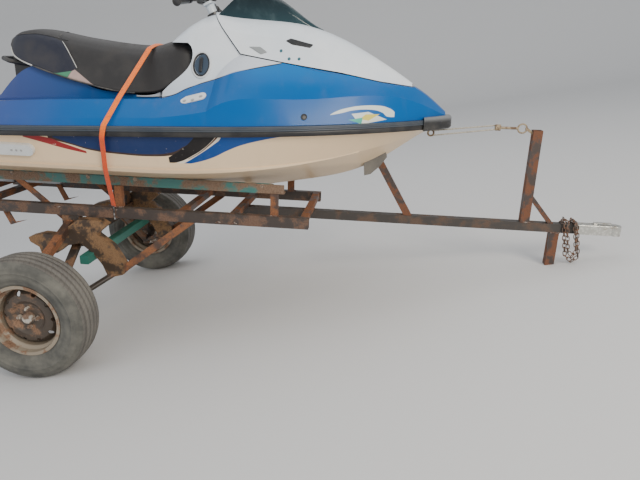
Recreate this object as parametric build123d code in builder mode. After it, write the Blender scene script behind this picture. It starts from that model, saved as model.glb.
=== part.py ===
"""Personal watercraft tied down on a home-made two-wheel trailer.

Lengths are millimetres. Everything is modelled with the trailer's rails level: X runs forward to the
coupler, Y to port and Z up, with X = 0 at the wheel axis and Z = 0 under the tyres. The last lines tip
the whole assembly nose down onto its short stand leg, as it parks, and write each piece.
"""

from math import asin, atan2, cos, degrees, radians, sin, sqrt, tan
import os

from build123d import *

# Driving dimensions of the trailer
WHEEL_R = 324.0
WHEEL_TRACK = 1550.0
TYRE_W = 195.0
RIM_R = 190.0
RAIL_TOP = 787.0
RAIL_H = 60.0
RAIL_BOTTOM = RAIL_TOP - RAIL_H
RAIL_W = 40.0
RAIL_SPREAD = 620.0
RAIL_FRONT = 1349.0
RAIL_REAR = -760.0
TUBE = 50.0
TUBE_WALL = 4.0
DRAWBAR_TOP = 754.0
DRAWBAR_REAR = 900.0
DRAWBAR_FRONT = 2862.0
POST_X = 2555.0
POST_H = 517.0
LEG_X = 2728.0
COUPLER_TIP = 3091.0
PARK_TILT = 10.65
PARK_SHIFT = -1199.14

# Driving dimensions of the craft
STERN_X = -840.0
BOW_X = 2082.0
HALF_BEAM = 560.0
STERN_HALF_BEAM = 520.0
PARALLEL_FRONT = 800.0
SHOULDER_X = 1804.0
SHOULDER_HALF = 265.0
NOSE_R = 60.0
SHEER_AT_0 = 1201.0
SHEER_SLOPE = 0.0346
BAND_H = 50.0
BAND_BUMPER = 18.0
KEEL_Z = 850.0
CHINE_HALF = 480.0
CHINE_Z = 1035.0
PRISM_FRONT = 500.0
FOOTWELL_FLOOR = 1240.0
WALL = 7.0
PUMP_X = -740.0
PUMP_Z = 960.0
PUMP_R = 84.0
PUMP_BORE = 72.0
SHAFT_R = 12.0
SEAM_GAP = 5.0
FIT = 0.3

DEADRISE = (CHINE_Z - KEEL_Z) / CHINE_HALF
SHEER = Plane(origin=(0, 0, SHEER_AT_0), x_dir=(1, 0, SHEER_SLOPE), z_dir=(-SHEER_SLOPE, 0, 1))
BAND_RISE = BAND_H * sqrt(1 + SHEER_SLOPE**2)
TILT = radians(PARK_TILT)
GROUND = Plane(
    origin=(0, 0, WHEEL_R - WHEEL_R / cos(TILT)),
    x_dir=(cos(TILT), 0, sin(TILT)),
    z_dir=(-sin(TILT), 0, cos(TILT)),
)
pieces = []


def finish(piece, label):
    """Name a finished piece and keep it for parking and writing."""
    piece.part.label = label
    pieces.append(piece.part)


def sheer_z(x):
    """Height of the joint between hull and deck at x."""
    return SHEER_AT_0 + SHEER_SLOPE * x


BOW_ARC_R = ((SHOULDER_X - PARALLEL_FRONT) ** 2 + (HALF_BEAM - SHOULDER_HALF) ** 2) / (
    2 * (HALF_BEAM - SHOULDER_HALF)
)
SHOULDER_ANGLE = asin((SHOULDER_X - PARALLEL_FRONT) / BOW_ARC_R)
NOSE_CHORD = sqrt((BOW_X - SHOULDER_X) ** 2 + SHOULDER_HALF**2)
NOSE_ARC_R = NOSE_CHORD / 2 / sin(atan2(SHOULDER_HALF, BOW_X - SHOULDER_X) - SHOULDER_ANGLE)


def half_beam(x):
    """Half breadth of the joint's outline at x."""
    if x < 0:
        return HALF_BEAM - (HALF_BEAM - STERN_HALF_BEAM) * x / STERN_X
    if x < PARALLEL_FRONT:
        return HALF_BEAM
    if x < SHOULDER_X:
        return HALF_BEAM - BOW_ARC_R + sqrt(BOW_ARC_R**2 - (x - PARALLEL_FRONT) ** 2)
    back = SHOULDER_X - NOSE_ARC_R * sin(SHOULDER_ANGLE)
    down = SHOULDER_HALF - NOSE_ARC_R * cos(SHOULDER_ANGLE)
    return down + sqrt(NOSE_ARC_R**2 - (x - back) ** 2)


def outline(grow=0.0):
    """Plan outline of the joint on the sheer plane, pushed out by grow."""
    with BuildSketch(SHEER) as plan:
        with BuildLine():
            port_side = Polyline((STERN_X, STERN_HALF_BEAM), (0, HALF_BEAM), (PARALLEL_FRONT, HALF_BEAM))
            shoulder = TangentArc(port_side @ 1, (SHOULDER_X, SHOULDER_HALF), tangent=port_side % 1)
            nose = TangentArc(shoulder @ 1, (BOW_X, 0), tangent=shoulder % 1)
            TangentArc(
                (SHOULDER_X, -SHOULDER_HALF), (BOW_X, 0),
                tangent=(cos(SHOULDER_ANGLE), sin(SHOULDER_ANGLE)),
            )
            TangentArc((PARALLEL_FRONT, -HALF_BEAM), (SHOULDER_X, -SHOULDER_HALF), tangent=(1, 0))
            Polyline(
                (PARALLEL_FRONT, -HALF_BEAM), (0, -HALF_BEAM), (STERN_X, -STERN_HALF_BEAM),
                (STERN_X, STERN_HALF_BEAM),
            )
        make_face()
        fillet(plan.vertices().sort_by(Axis.X)[-1], NOSE_R)
        if grow:
            offset(amount=grow, kind=Kind.INTERSECTION)
    return plan.sketch


def polygon_section(x, half):
    """Closed section at x from its starboard-to-port half points, mirrored about the centre line."""
    mirrored = [(-y, z) for y, z in reversed(half) if y > 0]
    with BuildSketch(Plane.YZ.offset(x)) as section:
        with BuildLine():
            Polyline(*half, *mirrored, close=True)
        make_face()
    return section.sketch


def crowned_section(x, base, base_z, shoulder, shoulder_z, crown_z):
    """Section with a flat base, leaning sides and a crowned top."""
    with BuildSketch(Plane.YZ.offset(x)) as section:
        with BuildLine():
            Line((-base, base_z), (base, base_z))
            Line((base, base_z), (shoulder, shoulder_z))
            ThreePointArc((shoulder, shoulder_z), (0, crown_z), (-shoulder, shoulder_z))
            Line((-shoulder, shoulder_z), (-base, base_z))
        make_face()
    return section.sketch


def side_prism(points, half_width):
    """Plate with a side outline, as thick as both half widths."""
    with BuildPart() as prism:
        with BuildSketch(Plane.XZ):
            with BuildLine():
                Polyline(*points, close=True)
            make_face()
        extrude(amount=half_width, both=True)
    return prism.part


# Hull stations forward of the straight run: x, keel height, chine half breadth, chine height
HULL_STATIONS = (
    (PRISM_FRONT, KEEL_Z, CHINE_HALF, CHINE_Z),
    (720, 855, 474, 1039),
    (980, 878, 448, 1054),
    (1276, 932, 372, 1086),
    (1600, 1019, 245, 1148),
    (1800, 1136, 145, 1202),
    (1960, 1244, 66, 1258),
    (2030, 1266, 34, 1271),
)
# Spray lip along the chine: x, chine half breadth, chine height, share of the full lip
LIP_STATIONS = (
    (STERN_X, CHINE_HALF, CHINE_Z, 1.0),
    (PRISM_FRONT, CHINE_HALF, CHINE_Z, 1.0),
    (720, 474, 1039, 1.0),
    (980, 448, 1054, 0.9),
    (1276, 372, 1086, 0.6),
    (1600, 245, 1148, 0.3),
)
LIP_OUT = 12.0
LIP_H = 20.0
LIP_DROP = 8.0
# Side edge where the hull enters the joint band, and how far it stands inside the outline
BAND_ENTRY = 5.0
BAND_INSET = 9.0
TUNNEL_HALF = 128.0
TUNNEL_TOP = 1056.0
INTAKE_FRONT = -120.0
BAY_REAR = 60.0
BAY_LENGTH = 640.0
BAY_HALF = 190.0
BAY_FLOOR = 930.0
BAY_TOP = 1340.0


def lip_section(side, x, chine, chine_z, share):
    """Section of the spray lip at x, rooted inside the hull."""
    with BuildSketch(Plane.YZ.offset(x)) as section:
        with BuildLine():
            Polyline(
                (side * (chine - LIP_OUT), chine_z),
                (side * (chine + share * LIP_OUT / 2), chine_z - share * LIP_DROP),
                (side * (chine + share * LIP_OUT), chine_z + share * LIP_H / 2),
                (side * (chine - LIP_OUT / 2), chine_z + share * LIP_H), close=True,
            )
        make_face()
    return section.sketch


# Hull, a planing V bottom with hard chines and a raked stem
with BuildPart() as hull:
    stern_section = polygon_section(
        STERN_X,
        [(0, KEEL_Z), (CHINE_HALF, CHINE_Z),
         (STERN_HALF_BEAM - BAND_INSET, sheer_z(STERN_X) + BAND_ENTRY)],
    )
    stations = [
        polygon_section(
            x, [(0, keel), (chine, chine_z), (half_beam(x) - BAND_INSET, sheer_z(x) + BAND_ENTRY)]
        )
        for x, keel, chine, chine_z in HULL_STATIONS
    ]
    loft([stern_section, stations[0]], ruled=True)
    loft(stations)
    for side in (-1, 1):
        lip_sections = [lip_section(side, *row) for row in LIP_STATIONS]
        loft(lip_sections[:2], ruled=True)
        loft(lip_sections[1:])
    extrude(outline(), amount=BAND_H)
    add(
        side_prism(
            [(STERN_X - 1, KEEL_Z - 1), (INTAKE_FRONT, KEEL_Z - 1), (PUMP_X + 300, TUNNEL_TOP),
             (STERN_X - 1, TUNNEL_TOP)],
            TUNNEL_HALF,
        ),
        mode=Mode.SUBTRACT,
    )
    with Locations((BAY_REAR + BAY_LENGTH / 2, 0, (BAY_FLOOR + BAY_TOP) / 2)):
        Box(BAY_LENGTH, 2 * BAY_HALF, BAY_TOP - BAY_FLOOR, mode=Mode.SUBTRACT)
    with BuildSketch(Plane.YZ.offset(PUMP_X + 300)):
        with Locations((0, PUMP_Z)):
            Circle(SHAFT_R + FIT)
    extrude(amount=BAY_REAR - PUMP_X - 300, mode=Mode.SUBTRACT)
finish(hull, "hull")

# Engine, one plain block on the floor of its bay
ENGINE_LENGTH = 560.0
ENGINE_WIDTH = 330.0
ENGINE_HEIGHT = 360.0
with BuildPart() as engine:
    with Locations((BAY_REAR + BAY_LENGTH / 2, 0, BAY_FLOOR + ENGINE_HEIGHT / 2)):
        Box(ENGINE_LENGTH, ENGINE_WIDTH, ENGINE_HEIGHT)
    fillet(engine.edges().filter_by(Axis.Z), 30)
finish(engine, "engine")

# Seat stations: x, base half width, base height, shoulder half width, shoulder height, crown height
SEAT_STATIONS = (
    (-392, 72, 1630, 50, 1662, 1672),
    (-320, 158, 1568, 98, 1688, 1706),
    (-180, 214, 1517, 122, 1696, 1718),
    (60, 242, 1452, 130, 1654, 1681),
    (330, 262, 1402, 140, 1624, 1652),
    (520, 246, 1410, 158, 1630, 1657),
    (600, 238, 1464, 172, 1628, 1653),
    (660, 222, 1512, 170, 1622, 1646),
    (696, 192, 1562, 156, 1614, 1633),
    (708, 158, 1588, 138, 1606, 1615),
)


def seat_body(grow=0.0):
    """Saddle-shaped seat, larger all round by grow."""
    first, last = SEAT_STATIONS[0][0], SEAT_STATIONS[-1][0]
    with BuildPart() as body:
        loft([
            crowned_section(
                x - grow if x == first else x + grow if x == last else x,
                base + grow, base_z - grow, shoulder + grow, shoulder_z + grow, crown_z + grow,
            )
            for x, base, base_z, shoulder, shoulder_z, crown_z in SEAT_STATIONS
        ])
    return body.part


with BuildPart() as seat:
    add(seat_body())
finish(seat, "seat")

# Side seam that parts the forward hatch from the console and the deck: x, height
SEAM = ((785, 1830), (976, 1616), (1205, 1580), (1483, 1540), (1686, 1500), (1864, 1476))
HATCH_TOP = 2000.0


def above_seam(raise_by):
    """Everything above the hatch seam, with the seam moved by raise_by."""
    rear_slope = raise_by * 1.5
    path = [(SEAM[0][0] + rear_slope, SEAM[0][1]), (SEAM[1][0] + rear_slope, SEAM[1][1] + raise_by)]
    path += [(x, z + raise_by) for x, z in SEAM[2:]]
    front = SEAM[-1][0] - raise_by
    return side_prism(
        [(path[0][0], HATCH_TOP), *path[:-1], (front, path[-1][1]), (front, HATCH_TOP)], HALF_BEAM
    )


# Hatch hinge at the tip of the hatch
HINGE_X = 1868.0
HINGE_Z = 1488.0
HINGE_BARREL_R = 8.0
HINGE_PIN_R = 4.0
HINGE_HALF = 12.0
HINGE_LUG = 12.0
HINGE_PLACE = Location((HINGE_X, 0, HINGE_Z), (90, 0, 0))

# Deck stations: x, shoulder half breadth, shoulder height, top edge half breadth, top edge height
AFT_DECK_STATIONS = (
    (STERN_X, 492, 1256, 446, 1312),
    (0, 520, 1282, 448, 1368),
    (610, 518, 1308, 432, 1392),
)
UNDER_CONSOLE_STATIONS = (
    AFT_DECK_STATIONS[-1],
    (690, 517, 1318, 392, 1418),
    (770, 514, 1330, 348, 1464),
    (860, 510, 1346, 326, 1500),
)
FORE_DECK_STATIONS = (
    UNDER_CONSOLE_STATIONS[-1],
    (1205, 452, 1414, 300, 1588),
    (1600, 310, 1436, 182, 1528),
    (1864, 186, 1410, 60, 1478),
    (1990, 98, 1360, 34, 1396),
    (2050, 34, 1334, 14, 1346),
)
DECK_INSET = 16.0
DECK_CROWN = 6.0
FOOTWELL_INNER = 212.0
FOOTWELL_OUTER = 404.0
FOOTWELL_FRONT = 560.0
PLATFORM_Z = 1292.0
PLATFORM_FRONT = -440.0
PEDESTAL_FOOT = 204.0
# Pedestal behind the seat's tail: x, half breadth, height
PEDESTAL_TAIL = ((-470, 150, 1330), (-330, 176, 1452))
SEAT_SEATING = 8.0
PEDESTAL_INSET = 26.0
BIN_REAR = 1290.0
BIN_LENGTH = 390.0
BIN_HALF = 130.0
BIN_FLOOR = 1330.0
CUT_H = 400.0  # height of the tools that cut the deck open to its top


def deck_section(x, shoulder, shoulder_z, top, top_z):
    """Deck section above the joint band at x."""
    edge = half_beam(x)
    if x > BOW_X - NOSE_R:
        edge = min(edge, sqrt(NOSE_R**2 - (x - BOW_X + NOSE_R + 8) ** 2))
    return polygon_section(
        x,
        [(edge - DECK_INSET, sheer_z(x) + BAND_RISE), (shoulder, shoulder_z), (top, top_z),
         (0, top_z + DECK_CROWN)],
    )


# Seat pedestal, rising from the footwell floor to the saddle line of the seat
with BuildPart() as pedestal:
    loft([
        polygon_section(x, [(PEDESTAL_FOOT, FOOTWELL_FLOOR - SEAT_SEATING), (half, height)])
        for x, half, height in PEDESTAL_TAIL + tuple(
            (row[0], row[1] - PEDESTAL_INSET, row[2] + SEAT_SEATING) for row in SEAT_STATIONS[2:6]
        )
    ])
    split(bisect_by=SHEER.offset(BAND_H), keep=Keep.TOP)
    add(seat_body(FIT), mode=Mode.SUBTRACT)

# Foredeck with the storage bin that the hatch covers
with BuildPart() as foredeck:
    loft([deck_section(*row) for row in UNDER_CONSOLE_STATIONS], ruled=True)
    loft([deck_section(*row) for row in FORE_DECK_STATIONS])
    with Locations((BIN_REAR + BIN_LENGTH / 2, 0, BIN_FLOOR + CUT_H / 2)):
        Box(BIN_LENGTH, 2 * BIN_HALF, CUT_H, mode=Mode.SUBTRACT)
    add(above_seam(-SEAM_GAP / 2), mode=Mode.SUBTRACT)
    with Locations(HINGE_PLACE):
        Cylinder(
            HINGE_BARREL_R + SEAM_GAP, 2 * (HINGE_HALF + HINGE_LUG + SEAM_GAP), mode=Mode.SUBTRACT
        )

# Deck moulding: gunwales, footwells and boarding platform, with the pedestal and the foredeck
with BuildPart() as deck:
    loft([deck_section(*row) for row in AFT_DECK_STATIONS], ruled=True)
    for side in (-1, 1):
        with Locations(
            ((STERN_X + FOOTWELL_FRONT) / 2, side * (FOOTWELL_INNER + FOOTWELL_OUTER) / 2,
             FOOTWELL_FLOOR + CUT_H / 2)
        ):
            Box(
                FOOTWELL_FRONT - STERN_X + 1, FOOTWELL_OUTER - FOOTWELL_INNER, CUT_H,
                mode=Mode.SUBTRACT,
            )
    with Locations(((STERN_X + PLATFORM_FRONT) / 2, 0, PLATFORM_Z + CUT_H / 2)):
        Box(PLATFORM_FRONT - STERN_X + 1, 2 * FOOTWELL_OUTER, CUT_H, mode=Mode.SUBTRACT)
    add(pedestal.part)
    add(foredeck.part)
    with Locations((BAY_REAR + BAY_LENGTH / 2, 0, BAY_TOP / 2)):
        Box(BAY_LENGTH, 2 * BAY_HALF, BAY_TOP, mode=Mode.SUBTRACT)
finish(deck, "deck")

# Rubber rub rail round the joint band, two tiers high, up to the nose cap
NOSE_CAP_REAR = 1926.0
with BuildPart() as rub_rail:
    extrude(outline(BAND_BUMPER), amount=BAND_H)
    extrude(outline(FIT), amount=BAND_H, mode=Mode.SUBTRACT)
    with BuildSketch(SHEER.offset(BAND_H / 2)):
        add(outline(BAND_BUMPER + 1).moved(Location(SHEER.z_dir * BAND_H / 2)))
        add(outline(BAND_BUMPER - 5).moved(Location(SHEER.z_dir * BAND_H / 2)), mode=Mode.SUBTRACT)
    extrude(amount=BAND_H / 2, mode=Mode.SUBTRACT)
    split(bisect_by=Plane(origin=(NOSE_CAP_REAR, 0, 0), z_dir=(1, 0, 0)), keep=Keep.BOTTOM)
    add(hull.part, mode=Mode.SUBTRACT)
finish(rub_rail, "rub_rail")

# Grey moulded cap over the bow's joint
NOSE_CAP_OVER = 24.0
NOSE_CAP_DROP = 8.0
NOSE_CAP_RISE = 12.0
with BuildPart() as nose_cap:
    extrude(
        outline(NOSE_CAP_OVER).moved(Location(SHEER.z_dir * -NOSE_CAP_DROP)),
        amount=BAND_H + NOSE_CAP_DROP + NOSE_CAP_RISE,
    )
    fillet(
        nose_cap.faces().sort_by(Axis.Z)[-1].edges() + nose_cap.faces().sort_by(Axis.Z)[0].edges(), 14
    )
    add(hull.part, mode=Mode.SUBTRACT)
    add(deck.part, mode=Mode.SUBTRACT)
    split(bisect_by=Plane(origin=(NOSE_CAP_REAR + FIT, 0, 0), z_dir=(1, 0, 0)), keep=Keep.TOP)
finish(nose_cap, "nose_cap")

# Steering column, leaning back out of the console
COLUMN_X = 772.0
COLUMN_Z = 1800.0
COLUMN_LEAN = 25.0
COLUMN_R = 24.0
COLUMN_BOOT = 36.0
COLUMN_DEPTH = 42.0
COLUMN_COLLAR = 24.0
CLAMP_T = 12.0
CLAMP_W = 52.0
CLAMP_LENGTH = 96.0
BAR_RISE = 92.0
BAR_R = 11.0
BAR_HALF = 372.0
BAR_SWEEP = 52.0
BAR_DROP = 16.0
GRIP_R = 17.0
GRIP_LENGTH = 122.0
COLUMN = Plane(
    origin=(COLUMN_X, 0, COLUMN_Z),
    x_dir=(cos(radians(COLUMN_LEAN)), 0, sin(radians(COLUMN_LEAN))),
    z_dir=(-sin(radians(COLUMN_LEAN)), 0, cos(radians(COLUMN_LEAN))),
)
# Console stations: x, base half width, base height, shoulder half width, shoulder height, crown height
CONSOLE_STATIONS = (
    (560, 300, 1370, 180, 1636, 1668),
    (650, 322, 1384, 186, 1700, 1752),
    (784, 332, 1424, 186, 1742, 1816),
    (1000, 316, 1500, 226, 1720, 1806),
    (1215, 294, 1556, 216, 1690, 1786),
)
SEAT_ROOM = 1.0
# Side outline of the opening that the seat's nose fills: lower edge, round the nose, upper edge
NOSE_OPENING = ((460, 1366), (540, 1402), (600, 1455), (664, 1506), (706, 1556), (717, 1604), (702, 1648))
NOSE_OPENING_TOP = 1664.0

# Console cowl round the nose of the seat, up to the hatch seam
with BuildPart() as console:
    loft([crowned_section(*row) for row in CONSOLE_STATIONS])
    add(above_seam(-SEAM_GAP / 2), mode=Mode.SUBTRACT)
    with BuildSketch(Plane.XZ):
        with BuildLine():
            nose_edge = Spline(*NOSE_OPENING)
            Polyline(
                nose_edge @ 1, (NOSE_OPENING[-1][0] - 18, NOSE_OPENING_TOP),
                (NOSE_OPENING[0][0], NOSE_OPENING_TOP), nose_edge @ 0,
            )
        make_face()
    extrude(amount=HALF_BEAM, both=True, mode=Mode.SUBTRACT)
    add(seat_body(SEAT_ROOM), mode=Mode.SUBTRACT)
    add(deck.part, mode=Mode.SUBTRACT)
    with BuildSketch(COLUMN.offset(-COLUMN_DEPTH)):
        Circle(COLUMN_BOOT + FIT)
    extrude(amount=2 * COLUMN_DEPTH, mode=Mode.SUBTRACT)
finish(console, "console")

# Hatch stations: x, base half width, base height, shoulder half width, shoulder height, crown height
HATCH_STATIONS = (
    (780, 256, 1600, 152, 1786, 1830),
    (976, 302, 1584, 226, 1716, 1812),
    (1205, 298, 1562, 216, 1690, 1788),
    (1483, 244, 1524, 160, 1628, 1706),
    (1686, 152, 1486, 96, 1556, 1602),
    (1800, 88, 1466, 54, 1512, 1534),
    (1864, 44, 1458, 26, 1482, 1492),
)


def hatch_body(wall=0.0, drop=0.0):
    """Forward hatch as a solid, pulled in by wall and with its base lowered by drop."""
    with BuildPart() as body:
        loft([
            crowned_section(
                x, base - wall, base_z - drop, shoulder - wall, shoulder_z - wall, crown_z - wall
            )
            for x, base, base_z, shoulder, shoulder_z, crown_z in HATCH_STATIONS
        ])
    return body.part


HATCH_LIP = 46.0
# Forward hatch, a moulded shell whose solid front lip carries the hinge
with BuildPart() as hatch:
    add(hatch_body())
    with BuildPart(mode=Mode.PRIVATE) as hollow:
        add(hatch_body(WALL, WALL))
        split(
            bisect_by=Plane(origin=(HATCH_STATIONS[-1][0] - HATCH_LIP, 0, 0), z_dir=(1, 0, 0)),
            keep=Keep.BOTTOM,
        )
    add(hollow.part, mode=Mode.SUBTRACT)
    add(above_seam(SEAM_GAP / 2), mode=Mode.INTERSECT)
    with BuildSketch(COLUMN.offset(-COLUMN_DEPTH)):
        Circle(COLUMN_BOOT + SEAM_GAP)
    extrude(amount=4 * COLUMN_DEPTH, mode=Mode.SUBTRACT)
    with Locations(HINGE_PLACE):
        Cylinder(HINGE_BARREL_R + 1.5, 2 * (HINGE_HALF + HINGE_LUG + SEAM_GAP), mode=Mode.SUBTRACT)
    with Locations((HINGE_X - 14, 0, HINGE_Z)):
        Box(28, 2 * HINGE_HALF, HINGE_BARREL_R)
    with Locations(HINGE_PLACE):
        Cylinder(HINGE_BARREL_R, 2 * HINGE_HALF)
        Cylinder(HINGE_PIN_R + FIT, 2 * HINGE_HALF, mode=Mode.SUBTRACT)
finish(hatch, "hatch")

# Windshield stations: x, base half width, base height, shoulder half width, shoulder height, crown height
WINDSHIELD_STATIONS = (
    (816, 98, 1780, 84, 1850, 1874),
    (950, 114, 1770, 86, 1902, 1946),
    (1060, 110, 1760, 72, 1888, 1934),
    (1200, 86, 1735, 46, 1822, 1858),
    (1368, 30, 1700, 16, 1738, 1753),
)
WINDSHIELD_WALL = 4.0
RIM_PLANE = Plane(origin=(832, 0, 1824), z_dir=(57, 0, -63))


def windshield_body(wall=0.0):
    """Windshield bubble as a solid, pulled in by wall."""
    with BuildPart() as body:
        loft([
            crowned_section(x - wall, base - wall, base_z, shoulder - wall, shoulder_z - wall, crown - wall)
            for x, base, base_z, shoulder, shoulder_z, crown in WINDSHIELD_STATIONS
        ])
    return body.part


# Windshield, a tinted bubble open towards the rider
with BuildPart() as windshield:
    add(windshield_body())
    add(windshield_body(WINDSHIELD_WALL), mode=Mode.SUBTRACT)
    add(hatch_body(), mode=Mode.SUBTRACT)
    split(bisect_by=RIM_PLANE, keep=Keep.TOP)
finish(windshield, "windshield")

# Instrument pod under the windshield
POD_X = 900.0
POD_HALF = 72.0
with BuildPart() as display:
    with Locations((POD_X, 0, 1826)):
        Box(64, 2 * POD_HALF, 44)
    fillet(display.edges().filter_by(Axis.Z), 16)
    add(hatch_body(), mode=Mode.SUBTRACT)
finish(display, "display")

# Grab handle, a moulded foot under the seat's tail with a bar round behind it
HANDLE = Plane(origin=(-262, 0, 1526), x_dir=(-1, 0, 0.16), z_dir=(0.16, 0, 1))
HANDLE_REACH = 190.0
HANDLE_HALF = 138.0
HANDLE_R = 12.0
with BuildPart() as grab_handle:
    add(side_prism([(-352, 1432), (-180, 1488), (-180, 1530), (-352, 1592)], 120))
    with BuildLine(HANDLE) as handle_path:
        FilletPolyline(
            (0, HANDLE_HALF - 26), (0.55 * HANDLE_REACH, HANDLE_HALF), (HANDLE_REACH, 70),
            (HANDLE_REACH, -70), (0.55 * HANDLE_REACH, -HANDLE_HALF), (0, 26 - HANDLE_HALF), radius=40,
        )
    with BuildSketch(handle_path.line ^ 0):
        Circle(HANDLE_R)
    sweep(path=handle_path.line)
    add(seat_body(FIT), mode=Mode.SUBTRACT)
    add(deck.part, mode=Mode.SUBTRACT)
finish(grab_handle, "grab_handle")

# How deep fittings start below the moulding that they are trimmed to
SUNK = 12.0

# Oval black cap let into the console's side
CAP_X = 779.0
CAP_Z = 1557.0
CAP_HALF_W = 41.0
CAP_HALF_H = 54.0
CAP_PROUD = 5.0
CONSOLE_LEAN = degrees(atan2(332 - 186, 1742 - 1424))
CAP_Y = 332 - (CAP_Z - 1424) * tan(radians(CONSOLE_LEAN))
with BuildPart() as side_cap:
    cap_plane = Plane(
        origin=(CAP_X, -CAP_Y, CAP_Z), x_dir=(1, 0, 0),
        z_dir=(0, -cos(radians(CONSOLE_LEAN)), sin(radians(CONSOLE_LEAN))),
    )
    with BuildSketch(cap_plane.offset(-SUNK)):
        Ellipse(CAP_HALF_W, CAP_HALF_H)
    extrude(amount=SUNK + CAP_PROUD)
    add(console.part, mode=Mode.SUBTRACT)
finish(side_cap, "side_cap")

# White three-bolt plates on both shoulders of the deck
PLATE_X = 775.0
PLATE_Y = 425.0
PLATE_Z = 1399.0
PLATE_LENGTH = 132.0
PLATE_H = 52.0
PLATE_T = 6.0
with BuildPart() as deck_plates:
    for side in (-1, 1):
        outward = Vector(-0.154, side * 0.574, 0.804)
        along = Vector(1, -side * 0.11, 0.27)
        plate_plane = Plane(origin=(PLATE_X, side * PLATE_Y, PLATE_Z), x_dir=along, z_dir=outward)
        with BuildSketch(plate_plane.offset(-SUNK)):
            SlotOverall(PLATE_LENGTH, PLATE_H)
        extrude(amount=SUNK + PLATE_T)
    add(deck.part, mode=Mode.SUBTRACT)
finish(deck_plates, "deck_plates")

# Sponsons bolted to the hull's sides
SPONSON_X = -300.0
SPONSON_Z = 1126.0
SPONSON_LENGTH = 520.0
SPONSON_H = 62.0
SPONSON_T = 20.0
with BuildPart() as sponsons:
    for side in (-1, 1):
        outward = Vector(0, side * 0.943, -0.333)
        sponson_plane = Plane(origin=(SPONSON_X, side * 512, SPONSON_Z), x_dir=(1, 0, 0), z_dir=outward)
        with BuildSketch(sponson_plane.offset(-SUNK)):
            SlotOverall(SPONSON_LENGTH, SPONSON_H)
        extrude(amount=SUNK + SPONSON_T)
    add(hull.part, mode=Mode.SUBTRACT)
finish(sponsons, "sponsons")

# Pump unit: housing with its exit cone and lugs, on a flange across the tunnel
FLANGE_X = -440.0
FLANGE_T = 10.0
PUMP_CONE_X = -640.0
PUMP_EXIT_X = -732.0
PUMP_EXIT_R = 54.0
PUMP_EXIT_BORE = 46.0
STATOR_R = 26.0
STATOR_VANES = 5
LUG_W = 24.0
LUG_RISE = 80.0
LUG_T = 9.0
PIVOT_X = -742.0
PIVOT_R = 6.0
PUMP_AXIS = Axis((0, 0, PUMP_Z), (1, 0, 0))
with BuildPart() as pump_housing:
    with BuildSketch(Plane.XZ):
        with BuildLine():
            Polyline(
                (FLANGE_X, PUMP_Z + PUMP_BORE), (FLANGE_X, PUMP_Z + PUMP_R), (PUMP_CONE_X, PUMP_Z + PUMP_R),
                (PUMP_EXIT_X, PUMP_Z + PUMP_EXIT_R), (PUMP_EXIT_X, PUMP_Z + PUMP_EXIT_BORE),
                (PUMP_CONE_X, PUMP_Z + PUMP_BORE), close=True,
            )
        make_face()
    revolve(axis=PUMP_AXIS)
    with BuildSketch(Plane.YZ.offset(FLANGE_X)):
        with Locations((0, (KEEL_Z + 22 + TUNNEL_TOP) / 2)):
            Rectangle(2 * TUNNEL_HALF, TUNNEL_TOP - KEEL_Z - 22)
        with Locations((0, PUMP_Z)):
            Circle(PUMP_BORE, mode=Mode.SUBTRACT)
    extrude(amount=-FLANGE_T)
    for side in (-1, 1):
        with Locations(((PIVOT_X - 14 + PUMP_CONE_X + 40) / 2, 0, PUMP_Z + side * (LUG_RISE + LUG_T / 2))):
            Box(PUMP_CONE_X + 40 - PIVOT_X + 14, LUG_W, LUG_T)
    with Locations((PIVOT_X, 0, PUMP_Z)):
        Cylinder(PIVOT_R + FIT, 2 * (LUG_RISE + LUG_T), mode=Mode.SUBTRACT)
    with BuildSketch(Plane.YZ.offset(PUMP_EXIT_X)):
        with Locations((0, PUMP_Z)):
            Circle(STATOR_R)
            with PolarLocations((STATOR_R + PUMP_EXIT_BORE) / 2, STATOR_VANES, start_angle=90):
                Rectangle(PUMP_EXIT_BORE - STATOR_R + 6, 4)
            Circle(SHAFT_R + FIT, mode=Mode.SUBTRACT)
    extrude(amount=PUMP_CONE_X - PUMP_EXIT_X)
finish(pump_housing, "pump_housing")

# Impeller on its drive shaft
IMPELLER_X = -560.0
IMPELLER_LENGTH = 70.0
HUB_R = 28.0
TIP_GAP = 5.0
BLADES = 3
SHAFT_REAR = -722.0
SHAFT_FRONT = -214.0
with BuildPart() as impeller:
    with BuildSketch(Plane.YZ.offset(SHAFT_REAR)):
        with Locations((0, PUMP_Z)):
            Circle(SHAFT_R)
    extrude(amount=SHAFT_FRONT - SHAFT_REAR)
    with BuildSketch(Plane.XZ):
        with BuildLine():
            Polyline(
                (IMPELLER_X - IMPELLER_LENGTH / 2, PUMP_Z),
                (IMPELLER_X - IMPELLER_LENGTH / 2, PUMP_Z + HUB_R),
                (IMPELLER_X + IMPELLER_LENGTH / 2, PUMP_Z + HUB_R * 0.8),
                (IMPELLER_X + IMPELLER_LENGTH / 2 + 22, PUMP_Z + SHAFT_R - 1),
                (IMPELLER_X + IMPELLER_LENGTH / 2 + 22, PUMP_Z), close=True,
            )
        make_face()
    revolve(axis=PUMP_AXIS)
    for turn in range(BLADES):
        blade_plane = Plane(
            origin=(IMPELLER_X, 0, PUMP_Z), x_dir=(1, 0, 0), z_dir=(0, 0, 1)
        ).rotated((turn * 360 / BLADES, 0, 0))
        with BuildSketch(blade_plane.offset(HUB_R - 12)):
            Rectangle(IMPELLER_LENGTH, 7, rotation=42)
        with BuildSketch(blade_plane.offset(PUMP_BORE)):
            Rectangle(IMPELLER_LENGTH, 4, rotation=62)
        loft()
    with BuildSketch(Plane.YZ.offset(SHAFT_REAR)):
        with Locations((0, PUMP_Z)):
            Circle(PUMP_BORE - TIP_GAP)
    extrude(amount=SHAFT_FRONT - SHAFT_REAR, mode=Mode.INTERSECT)
finish(impeller, "impeller")

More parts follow.
